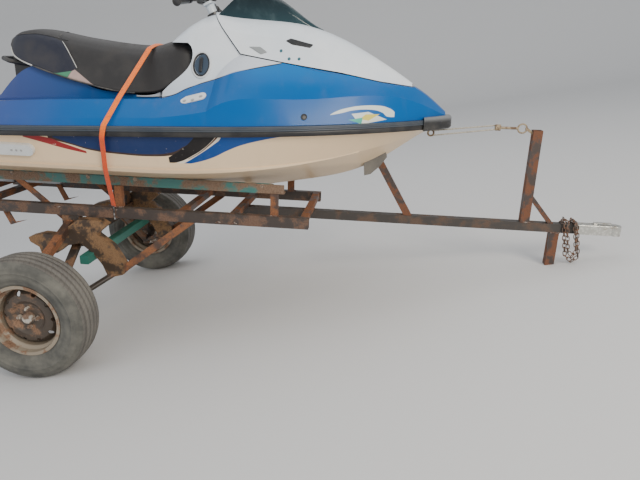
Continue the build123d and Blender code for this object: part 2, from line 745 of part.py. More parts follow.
# Steering nozzle on its vertical pins
NOZZLE_FRONT = -750.0
NOZZLE_REAR = -836.0
NOZZLE_R = 72.0
NOZZLE_EXIT_R = 54.0
NOZZLE_WALL = 6.0
EAR_T = 6.0
with BuildPart() as steering_nozzle:
    with BuildSketch(Plane.XZ):
        with BuildLine():
            Polyline(
                (NOZZLE_FRONT, PUMP_Z + NOZZLE_R - NOZZLE_WALL), (NOZZLE_FRONT, PUMP_Z + NOZZLE_R),
                (NOZZLE_REAR, PUMP_Z + NOZZLE_EXIT_R), (NOZZLE_REAR, PUMP_Z + NOZZLE_EXIT_R - NOZZLE_WALL),
                close=True,
            )
        make_face()
    revolve(axis=PUMP_AXIS)
    for side in (-1, 1):
        ear_z = PUMP_Z + side * (LUG_RISE - FIT - EAR_T / 2)
        with Locations(((PIVOT_X + NOZZLE_FRONT - 16) / 2, 0, ear_z)):
            Box(PIVOT_X - NOZZLE_FRONT + 16, LUG_W - 2, EAR_T)
        with Locations((PIVOT_X, 0, ear_z)):
            Cylinder(LUG_W / 2 - 1, EAR_T)
        with Locations((NOZZLE_FRONT - 10, 0, PUMP_Z + side * (NOZZLE_R + 1))):
            Box(12, LUG_W - 2, 2 * (LUG_RISE - FIT - NOZZLE_R - 1))
        with Locations((PIVOT_X, 0, PUMP_Z + side * (LUG_RISE + LUG_T / 2))):
            Cylinder(PIVOT_R, LUG_T + 2 * FIT + 2)
finish(steering_nozzle, "steering_nozzle")

# Ride plate under the pump and grate over the intake, both held by webs between the tunnel's sides
WEB_T = 8.0
WEB_TOP = 914.0
WEB_Y = TUNNEL_HALF - FIT - WEB_T / 2
RIDE_REAR = STERN_X + 20
RIDE_FRONT = FLANGE_X - FLANGE_T - 4
RIDE_FOOT = KEEL_Z + 1
with BuildPart() as ride_plate:
    ride_web = [
        (RIDE_REAR, RIDE_FOOT), (RIDE_FRONT, RIDE_FOOT), (RIDE_FRONT, WEB_TOP), (RIDE_REAR + 60, WEB_TOP),
    ]
    with Locations(((RIDE_REAR + RIDE_FRONT) / 2, 0, RIDE_FOOT + WEB_T / 2)):
        Box(RIDE_FRONT - RIDE_REAR, 2 * WEB_Y, WEB_T)
    for side in (-1, 1):
        add(side_prism(ride_web, WEB_T / 2).moved(Location((0, side * WEB_Y, 0))))
finish(ride_plate, "ride_plate")

GRATE_BARS = 5
GRATE_REAR = -430.0
GRATE_FRONT = -160.0
GRATE_FOOT = KEEL_Z + 3
with BuildPart() as intake_grate:
    grate_web = [
        (GRATE_REAR, GRATE_FOOT), (GRATE_FRONT, GRATE_FOOT), (GRATE_FRONT, GRATE_FOOT + 14), (-226, WEB_TOP),
        (GRATE_REAR, WEB_TOP),
    ]
    with Locations(((GRATE_REAR + GRATE_FRONT) / 2, 0, GRATE_FOOT + 7)):
        with GridLocations(0, 2 * TUNNEL_HALF / (GRATE_BARS + 1), 1, GRATE_BARS):
            Box(GRATE_FRONT - GRATE_REAR, 7, 14)
    for x in (GRATE_REAR + 8, GRATE_FRONT - 8):
        with Locations((x, 0, GRATE_FOOT + 7)):
            Box(16, 2 * WEB_Y, 12)
    for side in (-1, 1):
        add(side_prism(grate_web, WEB_T / 2).moved(Location((0, side * WEB_Y, 0))))
finish(intake_grate, "intake_grate")

# Socket that the steering column turns in
with BuildPart() as column_socket:
    with BuildSketch(COLUMN.offset(-COLUMN_DEPTH)):
        Circle(COLUMN_BOOT)
        Circle(COLUMN_R + FIT, mode=Mode.SUBTRACT)
    extrude(amount=COLUMN_DEPTH + COLUMN_COLLAR)
finish(column_socket, "column_socket")

with BuildPart() as steering_column:
    with BuildSketch(COLUMN.offset(FIT - COLUMN_DEPTH)):
        Circle(COLUMN_R)
    extrude(amount=COLUMN_DEPTH - FIT + BAR_RISE - BAR_R - CLAMP_T)
    with BuildSketch(COLUMN.offset(BAR_RISE - BAR_R - CLAMP_T)):
        RectangleRounded(CLAMP_W, CLAMP_LENGTH, 14)
    extrude(amount=CLAMP_T)
finish(steering_column, "steering_column")

with BuildPart() as handlebar:
    with BuildLine(COLUMN.offset(BAR_RISE)) as bar_path:
        FilletPolyline(
            (-BAR_SWEEP, BAR_HALF, -BAR_DROP), (-BAR_SWEEP * 0.4, 190, 0), (0, 96, 0), (0, -96, 0),
            (-BAR_SWEEP * 0.4, -190, 0), (-BAR_SWEEP, -BAR_HALF, -BAR_DROP), radius=60,
        )
    with BuildSketch(bar_path.line ^ 0):
        Circle(BAR_R)
    sweep(path=bar_path.line)
finish(handlebar, "handlebar")

# Grips over the ends of the bar, and the thumb lever by the starboard grip
with BuildPart() as grips:
    for side in (-1, 1):
        grip_end = bar_path.line @ (0 if side > 0 else 1)
        grip_way = bar_path.line % (0 if side > 0 else 1)
        grip_plane = Plane(origin=grip_end, z_dir=grip_way * (1 if side > 0 else -1))
        with BuildSketch(grip_plane.offset(-4)):
            Circle(GRIP_R)
        extrude(amount=GRIP_LENGTH)
        with BuildSketch(grip_plane.offset(-4)):
            Circle(GRIP_R + 5)
        extrude(amount=8)
    fillet(grips.edges().filter_by(GeomType.CIRCLE), 2)
    add(handlebar.part, mode=Mode.SUBTRACT)
finish(grips, "grips")

LEVER_INBOARD = 30.0
with BuildPart() as throttle_lever:
    lever_plane = Plane(
        origin=(bar_path.line @ 1) - (bar_path.line % 1) * (GRIP_LENGTH + LEVER_INBOARD / 2),
        x_dir=COLUMN.x_dir, z_dir=bar_path.line % 1,
    )
    with BuildSketch(lever_plane.offset(-LEVER_INBOARD / 2 + 6)):
        Circle(BAR_R + 7)
    extrude(amount=LEVER_INBOARD - 12)
    with BuildSketch(lever_plane.offset(-4)):
        with Locations((24, 0)):
            Rectangle(48, 12)
    extrude(amount=8)
    with BuildSketch(lever_plane.offset(-4)):
        with Locations((44, 0)):
            Rectangle(9, 12)
    extrude(amount=74)
    add(handlebar.part, mode=Mode.SUBTRACT)
finish(throttle_lever, "throttle_lever")

PAD_T = 42.0
PAD_LAP = 6.0
with BuildPart() as bar_pad:
    with BuildSketch(COLUMN.offset(BAR_RISE - PAD_LAP)):
        RectangleRounded(92, 150, 26)
    extrude(amount=PAD_T)
    fillet(bar_pad.faces().sort_by(Axis.Z)[-1].edges(), 14)
    add(handlebar.part, mode=Mode.SUBTRACT)
finish(bar_pad, "bar_pad")

# Bow eye in the stem
EYE_X = 1984.0
EYE_Z = 1232.0
EYE_R = 16.0
EYE_ROD = 5.0
with BuildPart() as bow_eye:
    with Locations(Location((EYE_X, 0, EYE_Z), (90, 0, 0))):
        Torus(EYE_R, EYE_ROD)
    add(hull.part, mode=Mode.SUBTRACT)
finish(bow_eye, "bow_eye")

# Hinge of the hatch: pin between two lugs on the deck, through a barrel on the hatch
with BuildPart() as hatch_hinge:
    for side in (-1, 1):
        with Locations((HINGE_X, side * (HINGE_HALF + FIT + HINGE_LUG / 2), HINGE_Z - 20)):
            Box(2 * HINGE_BARREL_R - 4, HINGE_LUG, 40)
        with Locations(Location((HINGE_X, side * (HINGE_HALF + FIT + HINGE_LUG / 2), HINGE_Z), (90, 0, 0))):
            Cylinder(HINGE_BARREL_R, HINGE_LUG)
    with Locations(HINGE_PLACE):
        Cylinder(HINGE_PIN_R, 2 * (HINGE_HALF + FIT + HINGE_LUG))
    add(deck.part, mode=Mode.SUBTRACT)
finish(hatch_hinge, "hatch_hinge")

# Tie strap over the seat, in one slanted plane, drawn down to both rails
STRAP_FOOT_X = 264.0
STRAP_SLANT = 0.223
STRAP_W = 27.0
STRAP_T = 2.5
STRAP = Plane(origin=(STRAP_FOOT_X, 0, RAIL_TOP), x_dir=(0, 1, 0), z_dir=(1, 0, -STRAP_SLANT))
STRAP_LEAN = sqrt(1 + STRAP_SLANT**2)
RUB_OUT = HALF_BEAM + BAND_BUMPER


def strap_level(z):
    """Distance up the strap's plane of a point at height z."""
    return (z - RAIL_TOP) * STRAP_LEAN


STRAP_HALF_PATH = (
    (RAIL_SPREAD / 2 + RAIL_W / 2 + 6, strap_level(RAIL_TOP + 8)),
    (CHINE_HALF + LIP_OUT + 4, strap_level(CHINE_Z)),
    (RUB_OUT + 1, strap_level(sheer_z(350) - 2)),
    (RUB_OUT + 1, strap_level(sheer_z(350) + BAND_H / 2 + 8)),
    (RUB_OUT - 3, strap_level(sheer_z(350) + BAND_H + 6)),
    (449, strap_level(1388)),
    (152, strap_level(1629)),
)
STRAP_CROWN = strap_level(1655)
with BuildPart() as tie_strap:
    with BuildSketch(STRAP):
        with BuildLine():
            Polyline(*STRAP_HALF_PATH)
            ThreePointArc(
                STRAP_HALF_PATH[-1], (0, STRAP_CROWN), (-STRAP_HALF_PATH[-1][0], STRAP_HALF_PATH[-1][1])
            )
            Polyline(*[(-y, v) for y, v in reversed(STRAP_HALF_PATH)])
            Line((-STRAP_HALF_PATH[0][0], STRAP_HALF_PATH[0][1]), STRAP_HALF_PATH[0])
        loop = make_face()
        offset(loop, amount=STRAP_T + 1.5, kind=Kind.INTERSECTION, mode=Mode.REPLACE)
        add(loop, mode=Mode.SUBTRACT)
        with Locations((0, STRAP_HALF_PATH[0][1] - 10)):
            Rectangle(4 * RAIL_SPREAD, 20, mode=Mode.SUBTRACT)
    extrude(amount=STRAP_W / 2, both=True)
    add(seat_body(FIT), mode=Mode.SUBTRACT)
finish(tie_strap, "tie_strap")

# Hooks that hold the strap's ends round the rails
HOOK_R = 4.0
with BuildPart() as strap_hooks:
    for side in (-1, 1):
        outer = side * (RAIL_SPREAD / 2 + RAIL_W / 2)
        with BuildLine(Plane.YZ.offset(STRAP_FOOT_X)) as hook_path:
            FilletPolyline(
                (outer + side * 7.5, RAIL_TOP + 7.2), (outer + side * 6, RAIL_BOTTOM - 6),
                (outer - side * 34, RAIL_BOTTOM - 6), radius=5,
            )
        with BuildSketch(hook_path.line ^ 0):
            Circle(HOOK_R)
        sweep(path=hook_path.line)
finish(strap_hooks, "strap_hooks")

# Bow line: two strands from the bow eye to the toggle of the tensioner
TOGGLE_X = 2329.0
LINE_Z = 1276.0
LINE_R = 4.0
LINE_SPREAD = 12.0
with BuildPart() as bow_line:
    for side in (-1, 1):
        strand_foot = Vector(EYE_X + EYE_R - 4, side * (EYE_ROD + LINE_R + FIT), EYE_Z + side * LINE_SPREAD)
        strand_head = Vector(TOGGLE_X - 1, side * 6, LINE_Z + side * 10)
        with BuildSketch(Plane(origin=strand_foot, z_dir=strand_head - strand_foot)):
            Circle(LINE_R)
        extrude(amount=(strand_head - strand_foot).length)
finish(bow_line, "bow_line")

TOGGLE_LENGTH = 28.0
TOGGLE_R = 17.0
ROD_END_X = 2446.0
RING_X = 2474.0
RING_OUT_R = 24.0
RING_ROD = 4.5
with BuildPart() as line_tensioner:
    with BuildSketch(Plane.YZ.offset(TOGGLE_X)):
        with Locations((0, LINE_Z)):
            Circle(TOGGLE_R)
    extrude(amount=TOGGLE_LENGTH)
    with BuildSketch(Plane.YZ.offset(TOGGLE_X + TOGGLE_LENGTH)):
        with Locations((0, LINE_Z)):
            Circle(7)
    extrude(amount=ROD_END_X - TOGGLE_X - TOGGLE_LENGTH + 6)
    with Locations(Location((RING_X, 0, LINE_Z), (90, 0, 0))):
        Torus(RING_OUT_R, RING_ROD)
    add(side_prism(
        [(RING_X + RING_OUT_R - 8, LINE_Z - 5), (POST_X - TUBE / 2, LINE_Z - 30),
         (POST_X - TUBE / 2, LINE_Z - 14), (RING_X + RING_OUT_R + 4, LINE_Z + 5),
         (RING_X + RING_OUT_R - 8, LINE_Z + 5)], 5,
    ))
finish(line_tensioner, "line_tensioner")

# Trailer rails, two lengths of box section
SIDES = ((-1, "right"), (1, "left"))
for side, hand in SIDES:
    with BuildPart() as rail:
        with BuildSketch(Plane.YZ.offset(RAIL_REAR)):
            with Locations((side * RAIL_SPREAD / 2, RAIL_TOP - RAIL_H / 2)):
                Rectangle(RAIL_W, RAIL_H)
                Rectangle(RAIL_W - 2 * TUBE_WALL, RAIL_H - 2 * TUBE_WALL, mode=Mode.SUBTRACT)
        extrude(amount=RAIL_FRONT - RAIL_REAR)
    finish(rail, f"rail_{hand}")

# Angle-iron cross members between the rails, their webs standing on the drawbar's top
CROSS_X = (-735.0, -535.0, 640.0, 930.0, 1322.0)
ANGLE = 40.0
ANGLE_T = 4.0
CROSS_H = RAIL_TOP - DRAWBAR_TOP
with BuildPart() as cross_members:
    for x in CROSS_X:
        with BuildSketch(Plane.XZ):
            with Locations((x, RAIL_TOP - ANGLE_T / 2)):
                Rectangle(ANGLE, ANGLE_T)
            with Locations((x + (ANGLE - ANGLE_T) / 2, RAIL_TOP - CROSS_H / 2)):
                Rectangle(ANGLE_T, CROSS_H)
        extrude(amount=(RAIL_SPREAD - RAIL_W) / 2, both=True)
finish(cross_members, "cross_members")

# Drawbar, a square tube under the front cross members
with BuildPart() as drawbar:
    with BuildSketch(Plane.YZ.offset(DRAWBAR_REAR)):
        with Locations((0, DRAWBAR_TOP - TUBE / 2)):
            Rectangle(TUBE, TUBE)
            Rectangle(TUBE - 2 * TUBE_WALL, TUBE - 2 * TUBE_WALL, mode=Mode.SUBTRACT)
    extrude(amount=DRAWBAR_FRONT - DRAWBAR_REAR)
finish(drawbar, "drawbar")

# Bunks: painted angles on posts, with boards shaped to the hull's bottom
BUNK_REAR = -780.0
BUNK_FRONT = 1210.0
BUNK_OUTER = 293.0
BUNK_ANGLE = 50.0
BUNK_T = 5.0
BUNK_EDGE = 7.0
BOARD_FRONT = 1150.0
BUNK_TOP = KEEL_Z + DEADRISE * BUNK_OUTER - BUNK_EDGE
BUNK_BOTTOM = BUNK_TOP - BUNK_ANGLE
POST_W = 34.0
POST_LENGTH = 40.0
POSTS_X = (-560.0, 280.0, 1157.0)
with BuildPart() as bunk_angles:
    for side in (-1, 1):
        with BuildSketch(Plane.YZ.offset(BUNK_REAR)):
            with Locations((side * (BUNK_OUTER - BUNK_T / 2), BUNK_TOP - BUNK_ANGLE / 2)):
                Rectangle(BUNK_T, BUNK_ANGLE)
            with Locations((side * (BUNK_OUTER - BUNK_ANGLE / 2), BUNK_BOTTOM + BUNK_T / 2)):
                Rectangle(BUNK_ANGLE, BUNK_T)
        extrude(amount=BUNK_FRONT - BUNK_REAR)
finish(bunk_angles, "bunk_angles")

with BuildPart() as bunk_boards:
    for side in (-1, 1):
        board_in, board_out = BUNK_OUTER - BUNK_ANGLE, BUNK_OUTER - BUNK_T
        with BuildSketch(Plane.YZ.offset(BUNK_REAR)):
            with BuildLine():
                Polyline(
                    (side * board_in, BUNK_BOTTOM + BUNK_T), (side * board_out, BUNK_BOTTOM + BUNK_T),
                    (side * board_out, KEEL_Z + DEADRISE * board_out),
                    (side * board_in, KEEL_Z + DEADRISE * board_in), close=True,
                )
            make_face()
        extrude(amount=BOARD_FRONT - BUNK_REAR)
    add(hull.part, mode=Mode.SUBTRACT)
finish(bunk_boards, "bunk_boards")

with BuildPart() as bunk_posts:
    for x in POSTS_X:
        for side in (-1, 1):
            with Locations((x, side * (BUNK_OUTER - 5), (RAIL_TOP + BUNK_BOTTOM) / 2)):
                Box(POST_LENGTH, POST_W, BUNK_BOTTOM - RAIL_TOP)
finish(bunk_posts, "bunk_posts")

# Bow arm and its rubber chock under the stem
ARM_FOOT_X = 1892.0
ARM_TOP_X = 1712.0
ARM_TOP_Z = 1056.0
CHOCK = ((1628, 982), (1664, 992), (1712, 1038), (1750, 1092), (1740, 1130), (1620, 1070))
with BuildPart() as bow_chock:
    add(side_prism(CHOCK, 48))
    add(hull.part, mode=Mode.SUBTRACT)
finish(bow_chock, "bow_chock")
with BuildPart() as bow_arm:
    arm_way = Vector(ARM_TOP_X - ARM_FOOT_X, 0, ARM_TOP_Z - DRAWBAR_TOP)
    arm_plane = Plane(origin=(ARM_FOOT_X, 0, DRAWBAR_TOP), x_dir=(0, 1, 0), z_dir=arm_way)
    with BuildSketch(arm_plane.offset(-ANGLE)):
        Rectangle(ANGLE, ANGLE)
        with Locations((ANGLE_T, ANGLE_T)):
            Rectangle(ANGLE, ANGLE, mode=Mode.SUBTRACT)
    extrude(amount=ANGLE + arm_way.length)
    split(bisect_by=Plane.XY.offset(DRAWBAR_TOP), keep=Keep.TOP)
    add(bow_chock.part, mode=Mode.SUBTRACT)
    add(hull.part, mode=Mode.SUBTRACT)
finish(bow_arm, "bow_arm")

# Winch post with its flat brace
BRACE_REAR = (2594.0, 888.0)
BRACE_FRONT = 2707.0
with BuildPart() as winch_post:
    with BuildSketch(Plane.XY.offset(DRAWBAR_TOP)):
        with Locations((POST_X, 0)):
            Rectangle(TUBE, TUBE)
            Rectangle(TUBE - 2 * TUBE_WALL, TUBE - 2 * TUBE_WALL, mode=Mode.SUBTRACT)
    extrude(amount=POST_H)
    add(side_prism(
        [(POST_X + TUBE / 2, BRACE_REAR[1] + 22), (POST_X + TUBE / 2, BRACE_REAR[1] - 14),
         (BRACE_FRONT - 24, DRAWBAR_TOP), (BRACE_FRONT + 8, DRAWBAR_TOP)], 15,
    ))
finish(winch_post, "winch_post")

# Stand leg, cut off level with the ground as the trailer parks
with BuildPart() as stand_leg:
    with BuildSketch(Plane.XY.offset(DRAWBAR_TOP - TUBE)):
        with Locations((LEG_X, 0)):
            Rectangle(TUBE, TUBE)
            Rectangle(TUBE - 2 * TUBE_WALL, TUBE - 2 * TUBE_WALL, mode=Mode.SUBTRACT)
    extrude(amount=-2 * TUBE - WHEEL_R)
    split(bisect_by=GROUND, keep=Keep.TOP)
finish(stand_leg, "stand_leg")

# Coupler: a pressed channel over the drawbar's end, drawn in to a ball socket
COUPLER_REAR = 2841.0
COUPLER_T = 5.0
CHANNEL_FRONT = 2960.0
CUP_R = 34.0
BALL_BORE = 25.4
CUP_DEPTH = 42.0
CUP_X = COUPLER_TIP - CUP_R
CUP_TOP = DRAWBAR_TOP + COUPLER_T
CUP_BOTTOM = CUP_TOP - 56.0
with BuildPart() as coupler:
    with BuildSketch(Plane.XY.offset(CUP_BOTTOM)):
        with BuildLine():
            Polyline(
                (COUPLER_REAR, -TUBE / 2 - COUPLER_T), (CHANNEL_FRONT, -TUBE / 2 - COUPLER_T),
                (CUP_X, -CUP_R * 0.7), (CUP_X, CUP_R * 0.7), (CHANNEL_FRONT, TUBE / 2 + COUPLER_T),
                (COUPLER_REAR, TUBE / 2 + COUPLER_T), close=True,
            )
        make_face()
        with Locations((CUP_X, 0)):
            Circle(CUP_R)
    extrude(amount=CUP_TOP - CUP_BOTTOM)
    fillet(coupler.faces().sort_by(Axis.Z)[-1].edges(), 4)
    with Locations(((COUPLER_REAR + DRAWBAR_FRONT + 60) / 2 - 5, 0, DRAWBAR_TOP - TUBE)):
        Box(DRAWBAR_FRONT - COUPLER_REAR + 70, TUBE, 2 * TUBE, mode=Mode.SUBTRACT)
    with Locations((CUP_X, 0, CUP_BOTTOM + CUP_DEPTH / 2)):
        Cylinder(BALL_BORE, CUP_DEPTH, mode=Mode.SUBTRACT)
    with Locations((CHANNEL_FRONT + 26, 0, CUP_TOP + 9)):
        Box(94, 18, 6)
    with Locations((CHANNEL_FRONT - 12, 0, CUP_TOP + 4)):
        Box(18, 18, 8)
finish(coupler, "coupler")

# Axle clip: a pressed cross beam on legs under the rails
BEAM_REAR = -60.0
BEAM_FRONT = 60.0
BEAM_TOP = 640.0
BEAM_BOTTOM = 580.0
CASTING_Y = 370.0
CASTING_T = 60.0
BEAM_HALF = CASTING_Y - CASTING_T / 2
LEG_THICK = 60.0
with BuildPart() as subframe:
    with Locations(((BEAM_REAR + BEAM_FRONT) / 2, 0, (BEAM_TOP + BEAM_BOTTOM) / 2)):
        Box(BEAM_FRONT - BEAM_REAR, 2 * BEAM_HALF, BEAM_TOP - BEAM_BOTTOM)
    for side in (-1, 1):
        with Locations(
            ((BEAM_REAR + BEAM_FRONT) / 2, side * (BEAM_HALF - LEG_THICK / 2), (RAIL_BOTTOM + BEAM_TOP) / 2)
        ):
            Box(BEAM_FRONT - BEAM_REAR - 30, LEG_THICK, RAIL_BOTTOM - BEAM_TOP)
finish(subframe, "subframe")

# Castings bolted to the ends of the beam, under the rails: rear horn, neck and front foot, from the side
CASTING = (
    (-222, 607), (-140, 632), (-45, 626), (20, 683), (84, RAIL_BOTTOM), (204, RAIL_BOTTOM), (244, 702),
    (178, 645), (262, 580), (322, 478), (318, 418), (228, 392), (200, 468), (150, 536), (80, 590), (0, 570),
    (-60, 523), (-152, 505), (-164, 552), (-214, 580),
)
with BuildPart() as castings:
    for side in (-1, 1):
        add(side_prism(CASTING, CASTING_T / 2).moved(Location((0, side * CASTING_Y, 0))))
    fillet(castings.edges().filter_by(Axis.Y), 7)
finish(castings, "castings")

# Painted cross tube between the castings
TIE_X = 130.0
TIE_Z = 516.0
TIE_HALF = 462.0
TIE_SIZE = 50.0
with BuildPart() as cross_tie:
    with Locations((TIE_X, 0, TIE_Z)):
        Box(TIE_SIZE, 2 * TIE_HALF, TIE_SIZE)
    fillet(cross_tie.edges().filter_by(Axis.Y), 5)
    add(castings.part, mode=Mode.SUBTRACT)
finish(cross_tie, "cross_tie")

# Lower arms: on each side a link from the beam and a rod from the casting's foot, out to the ball joint
SLEEVE_R = 22.0
SLEEVE_Z = BEAM_BOTTOM - SLEEVE_R - FIT
REAR_PIVOT_X = 10.0
JOINT_Y = 650.0
JOINT_Z = 262.0
ARM_LINKS = (
    # pivot x, y, z, width, depth
    (REAR_PIVOT_X, BEAM_HALF - 40, SLEEVE_Z, 50, 26),
    (272, CASTING_Y, 424, 30, 24),
)
with BuildPart() as lower_arms:
    for side in (-1, 1):
        ball = Vector(0, side * JOINT_Y, JOINT_Z)
        for x, y, z, width, depth in ARM_LINKS:
            pivot = Vector(x, side * y, z)
            with BuildSketch(Plane(origin=pivot, x_dir=(1, 0, 0), z_dir=ball - pivot)):
                RectangleRounded(width, depth, 8)
            extrude(amount=(ball - pivot).length)
        with Locations(Location((REAR_PIVOT_X, side * (BEAM_HALF - 40), SLEEVE_Z), (0, 90, 0))):
            Cylinder(SLEEVE_R, 62)
        with Locations((0, side * JOINT_Y, JOINT_Z)):
            Cylinder(24, 40)
    add(castings.part, mode=Mode.SUBTRACT)
    add(cross_tie.part, mode=Mode.SUBTRACT)
finish(lower_arms, "lower_arms")

# Knuckles: forged uprights with the bearing ring that each hub turns in
HUB_Y = WHEEL_TRACK / 2
KNUCKLE_IN = 632.0
KNUCKLE_OUT = 694.0
UPRIGHT_W = 36.0
BEARING_R = 22.0
RING_R = 50.0
KNUCKLE_TOP = 556.0
KNUCKLE_FOOT = JOINT_Z + 20
WHEEL_AXIS = Axis((0, 0, WHEEL_R), (0, 1, 0))
with BuildPart() as knuckles:
    for side in (-1, 1):
        with Locations((0, side * (KNUCKLE_IN + UPRIGHT_W / 2), (KNUCKLE_FOOT + KNUCKLE_TOP) / 2)):
            Box(56, UPRIGHT_W, KNUCKLE_TOP - KNUCKLE_FOOT)
        with Locations(Location((0, side * (KNUCKLE_IN + KNUCKLE_OUT) / 2, WHEEL_R), (90, 0, 0))):
            Cylinder(RING_R, KNUCKLE_OUT - KNUCKLE_IN)
            Cylinder(BEARING_R + FIT, KNUCKLE_OUT - KNUCKLE_IN, mode=Mode.SUBTRACT)
        with Locations((-76, side * (KNUCKLE_IN + 20), WHEEL_R + 8)):
            Box(90, 22, 24)
    add(lower_arms.part, mode=Mode.SUBTRACT)
finish(knuckles, "knuckles")

# Upper struts that hold the knuckles upright from the rails
STRUT_W = 40.0
with BuildPart() as upper_struts:
    for side in (-1, 1):
        strut_head = Vector(0, side * (CASTING_Y - 30), RAIL_BOTTOM - STRUT_W)
        strut_way = Vector(0, side * (KNUCKLE_IN + UPRIGHT_W / 2), KNUCKLE_TOP) - strut_head
        with BuildSketch(Plane(origin=strut_head, x_dir=(1, 0, 0), z_dir=strut_way)):
            Rectangle(STRUT_W, STRUT_W)
        extrude(amount=strut_way.length)
    add(knuckles.part, mode=Mode.SUBTRACT)
    add(subframe.part, mode=Mode.SUBTRACT)
    add(castings.part, mode=Mode.SUBTRACT)
finish(upper_struts, "upper_struts")

# Radius braces of angle iron from the castings' feet up to the rails
BRACE_FOOT = (322.0, 452.0)
BRACE_END_X = 700.0
with BuildPart() as radius_braces:
    for side in (-1, 1):
        brace_foot = Vector(BRACE_FOOT[0] - 20, side * CASTING_Y, BRACE_FOOT[1] - 15)
        brace_way = Vector(BRACE_END_X, side * RAIL_SPREAD / 2, RAIL_BOTTOM + 10) - brace_foot
        with BuildSketch(Plane(origin=brace_foot, x_dir=(0, 1, 0), z_dir=brace_way)):
            Rectangle(ANGLE, ANGLE)
            with Locations((-side * ANGLE_T, ANGLE_T)):
                Rectangle(ANGLE, ANGLE, mode=Mode.SUBTRACT)
        extrude(amount=brace_way.length)
    split(bisect_by=Plane.XY.offset(RAIL_BOTTOM), keep=Keep.BOTTOM)
    add(castings.part, mode=Mode.SUBTRACT)
finish(radius_braces, "radius_braces")

# Flat bars welded inside the rails: one down from each bunk to the beam, and a V under each rail behind it
FLAT_T = 8.0
FLAT_Y = (RAIL_SPREAD - RAIL_W - FLAT_T) / 2
with BuildPart() as frame_braces:
    for side in (-1, 1):
        for points in (
            [(-330, BUNK_BOTTOM), (-280, BUNK_BOTTOM), (30, 641), (-20, 641)],
            [(-446, RAIL_BOTTOM + 20), (-410, RAIL_BOTTOM + 20), (-366, 655), (-62, 722), (-62, 750),
             (-396, 636)],
        ):
            add(side_prism(points, FLAT_T / 2).moved(Location((0, side * FLAT_Y, 0))))
    add(subframe.part, mode=Mode.SUBTRACT)
finish(frame_braces, "frame_braces")

# Steering rack clamped behind the beam, with tie rods out to the knuckles
RACK_R = 18.0
ROD_R = 7.0
with BuildPart() as steering_rack:
    with Locations(Location((BEAM_REAR - RACK_R, 0, BEAM_TOP - 30), (90, 0, 0))):
        Cylinder(RACK_R, 2 * BEAM_HALF - 60)
    for side in (-1, 1):
        rod_start = Vector(BEAM_REAR - RACK_R, side * (BEAM_HALF - 50), BEAM_TOP - 30)
        rod_end = Vector(-108, side * (KNUCKLE_IN + 12), WHEEL_R + 20)
        with BuildSketch(Plane(origin=rod_start, z_dir=rod_end - rod_start)):
            Circle(ROD_R)
        extrude(amount=(rod_end - rod_start).length)
    add(knuckles.part, mode=Mode.SUBTRACT)
    add(castings.part, mode=Mode.SUBTRACT)
finish(steering_rack, "steering_rack")

# Wheels: tyre, pressed steel rim and hub with its drum, one set each side
RIM_HALF = 70.0
SEAT_R = 178.0
TREAD_HALF = 80.0
DISC_OUT = 22.0
DISC_T = 4.0
PILOT_R = 30.0
VENTS = 10
VENT_R = 12.0
VENT_RING_R = 130.0
STUDS = 4
STUD_RING_R = 49.0
DRUM_R = 112.0


def across(side, points):
    """Wheel profile points on the YZ plane, from their outboard distance and radius."""
    return [(side * (HUB_Y + out), WHEEL_R + radius) for out, radius in points]


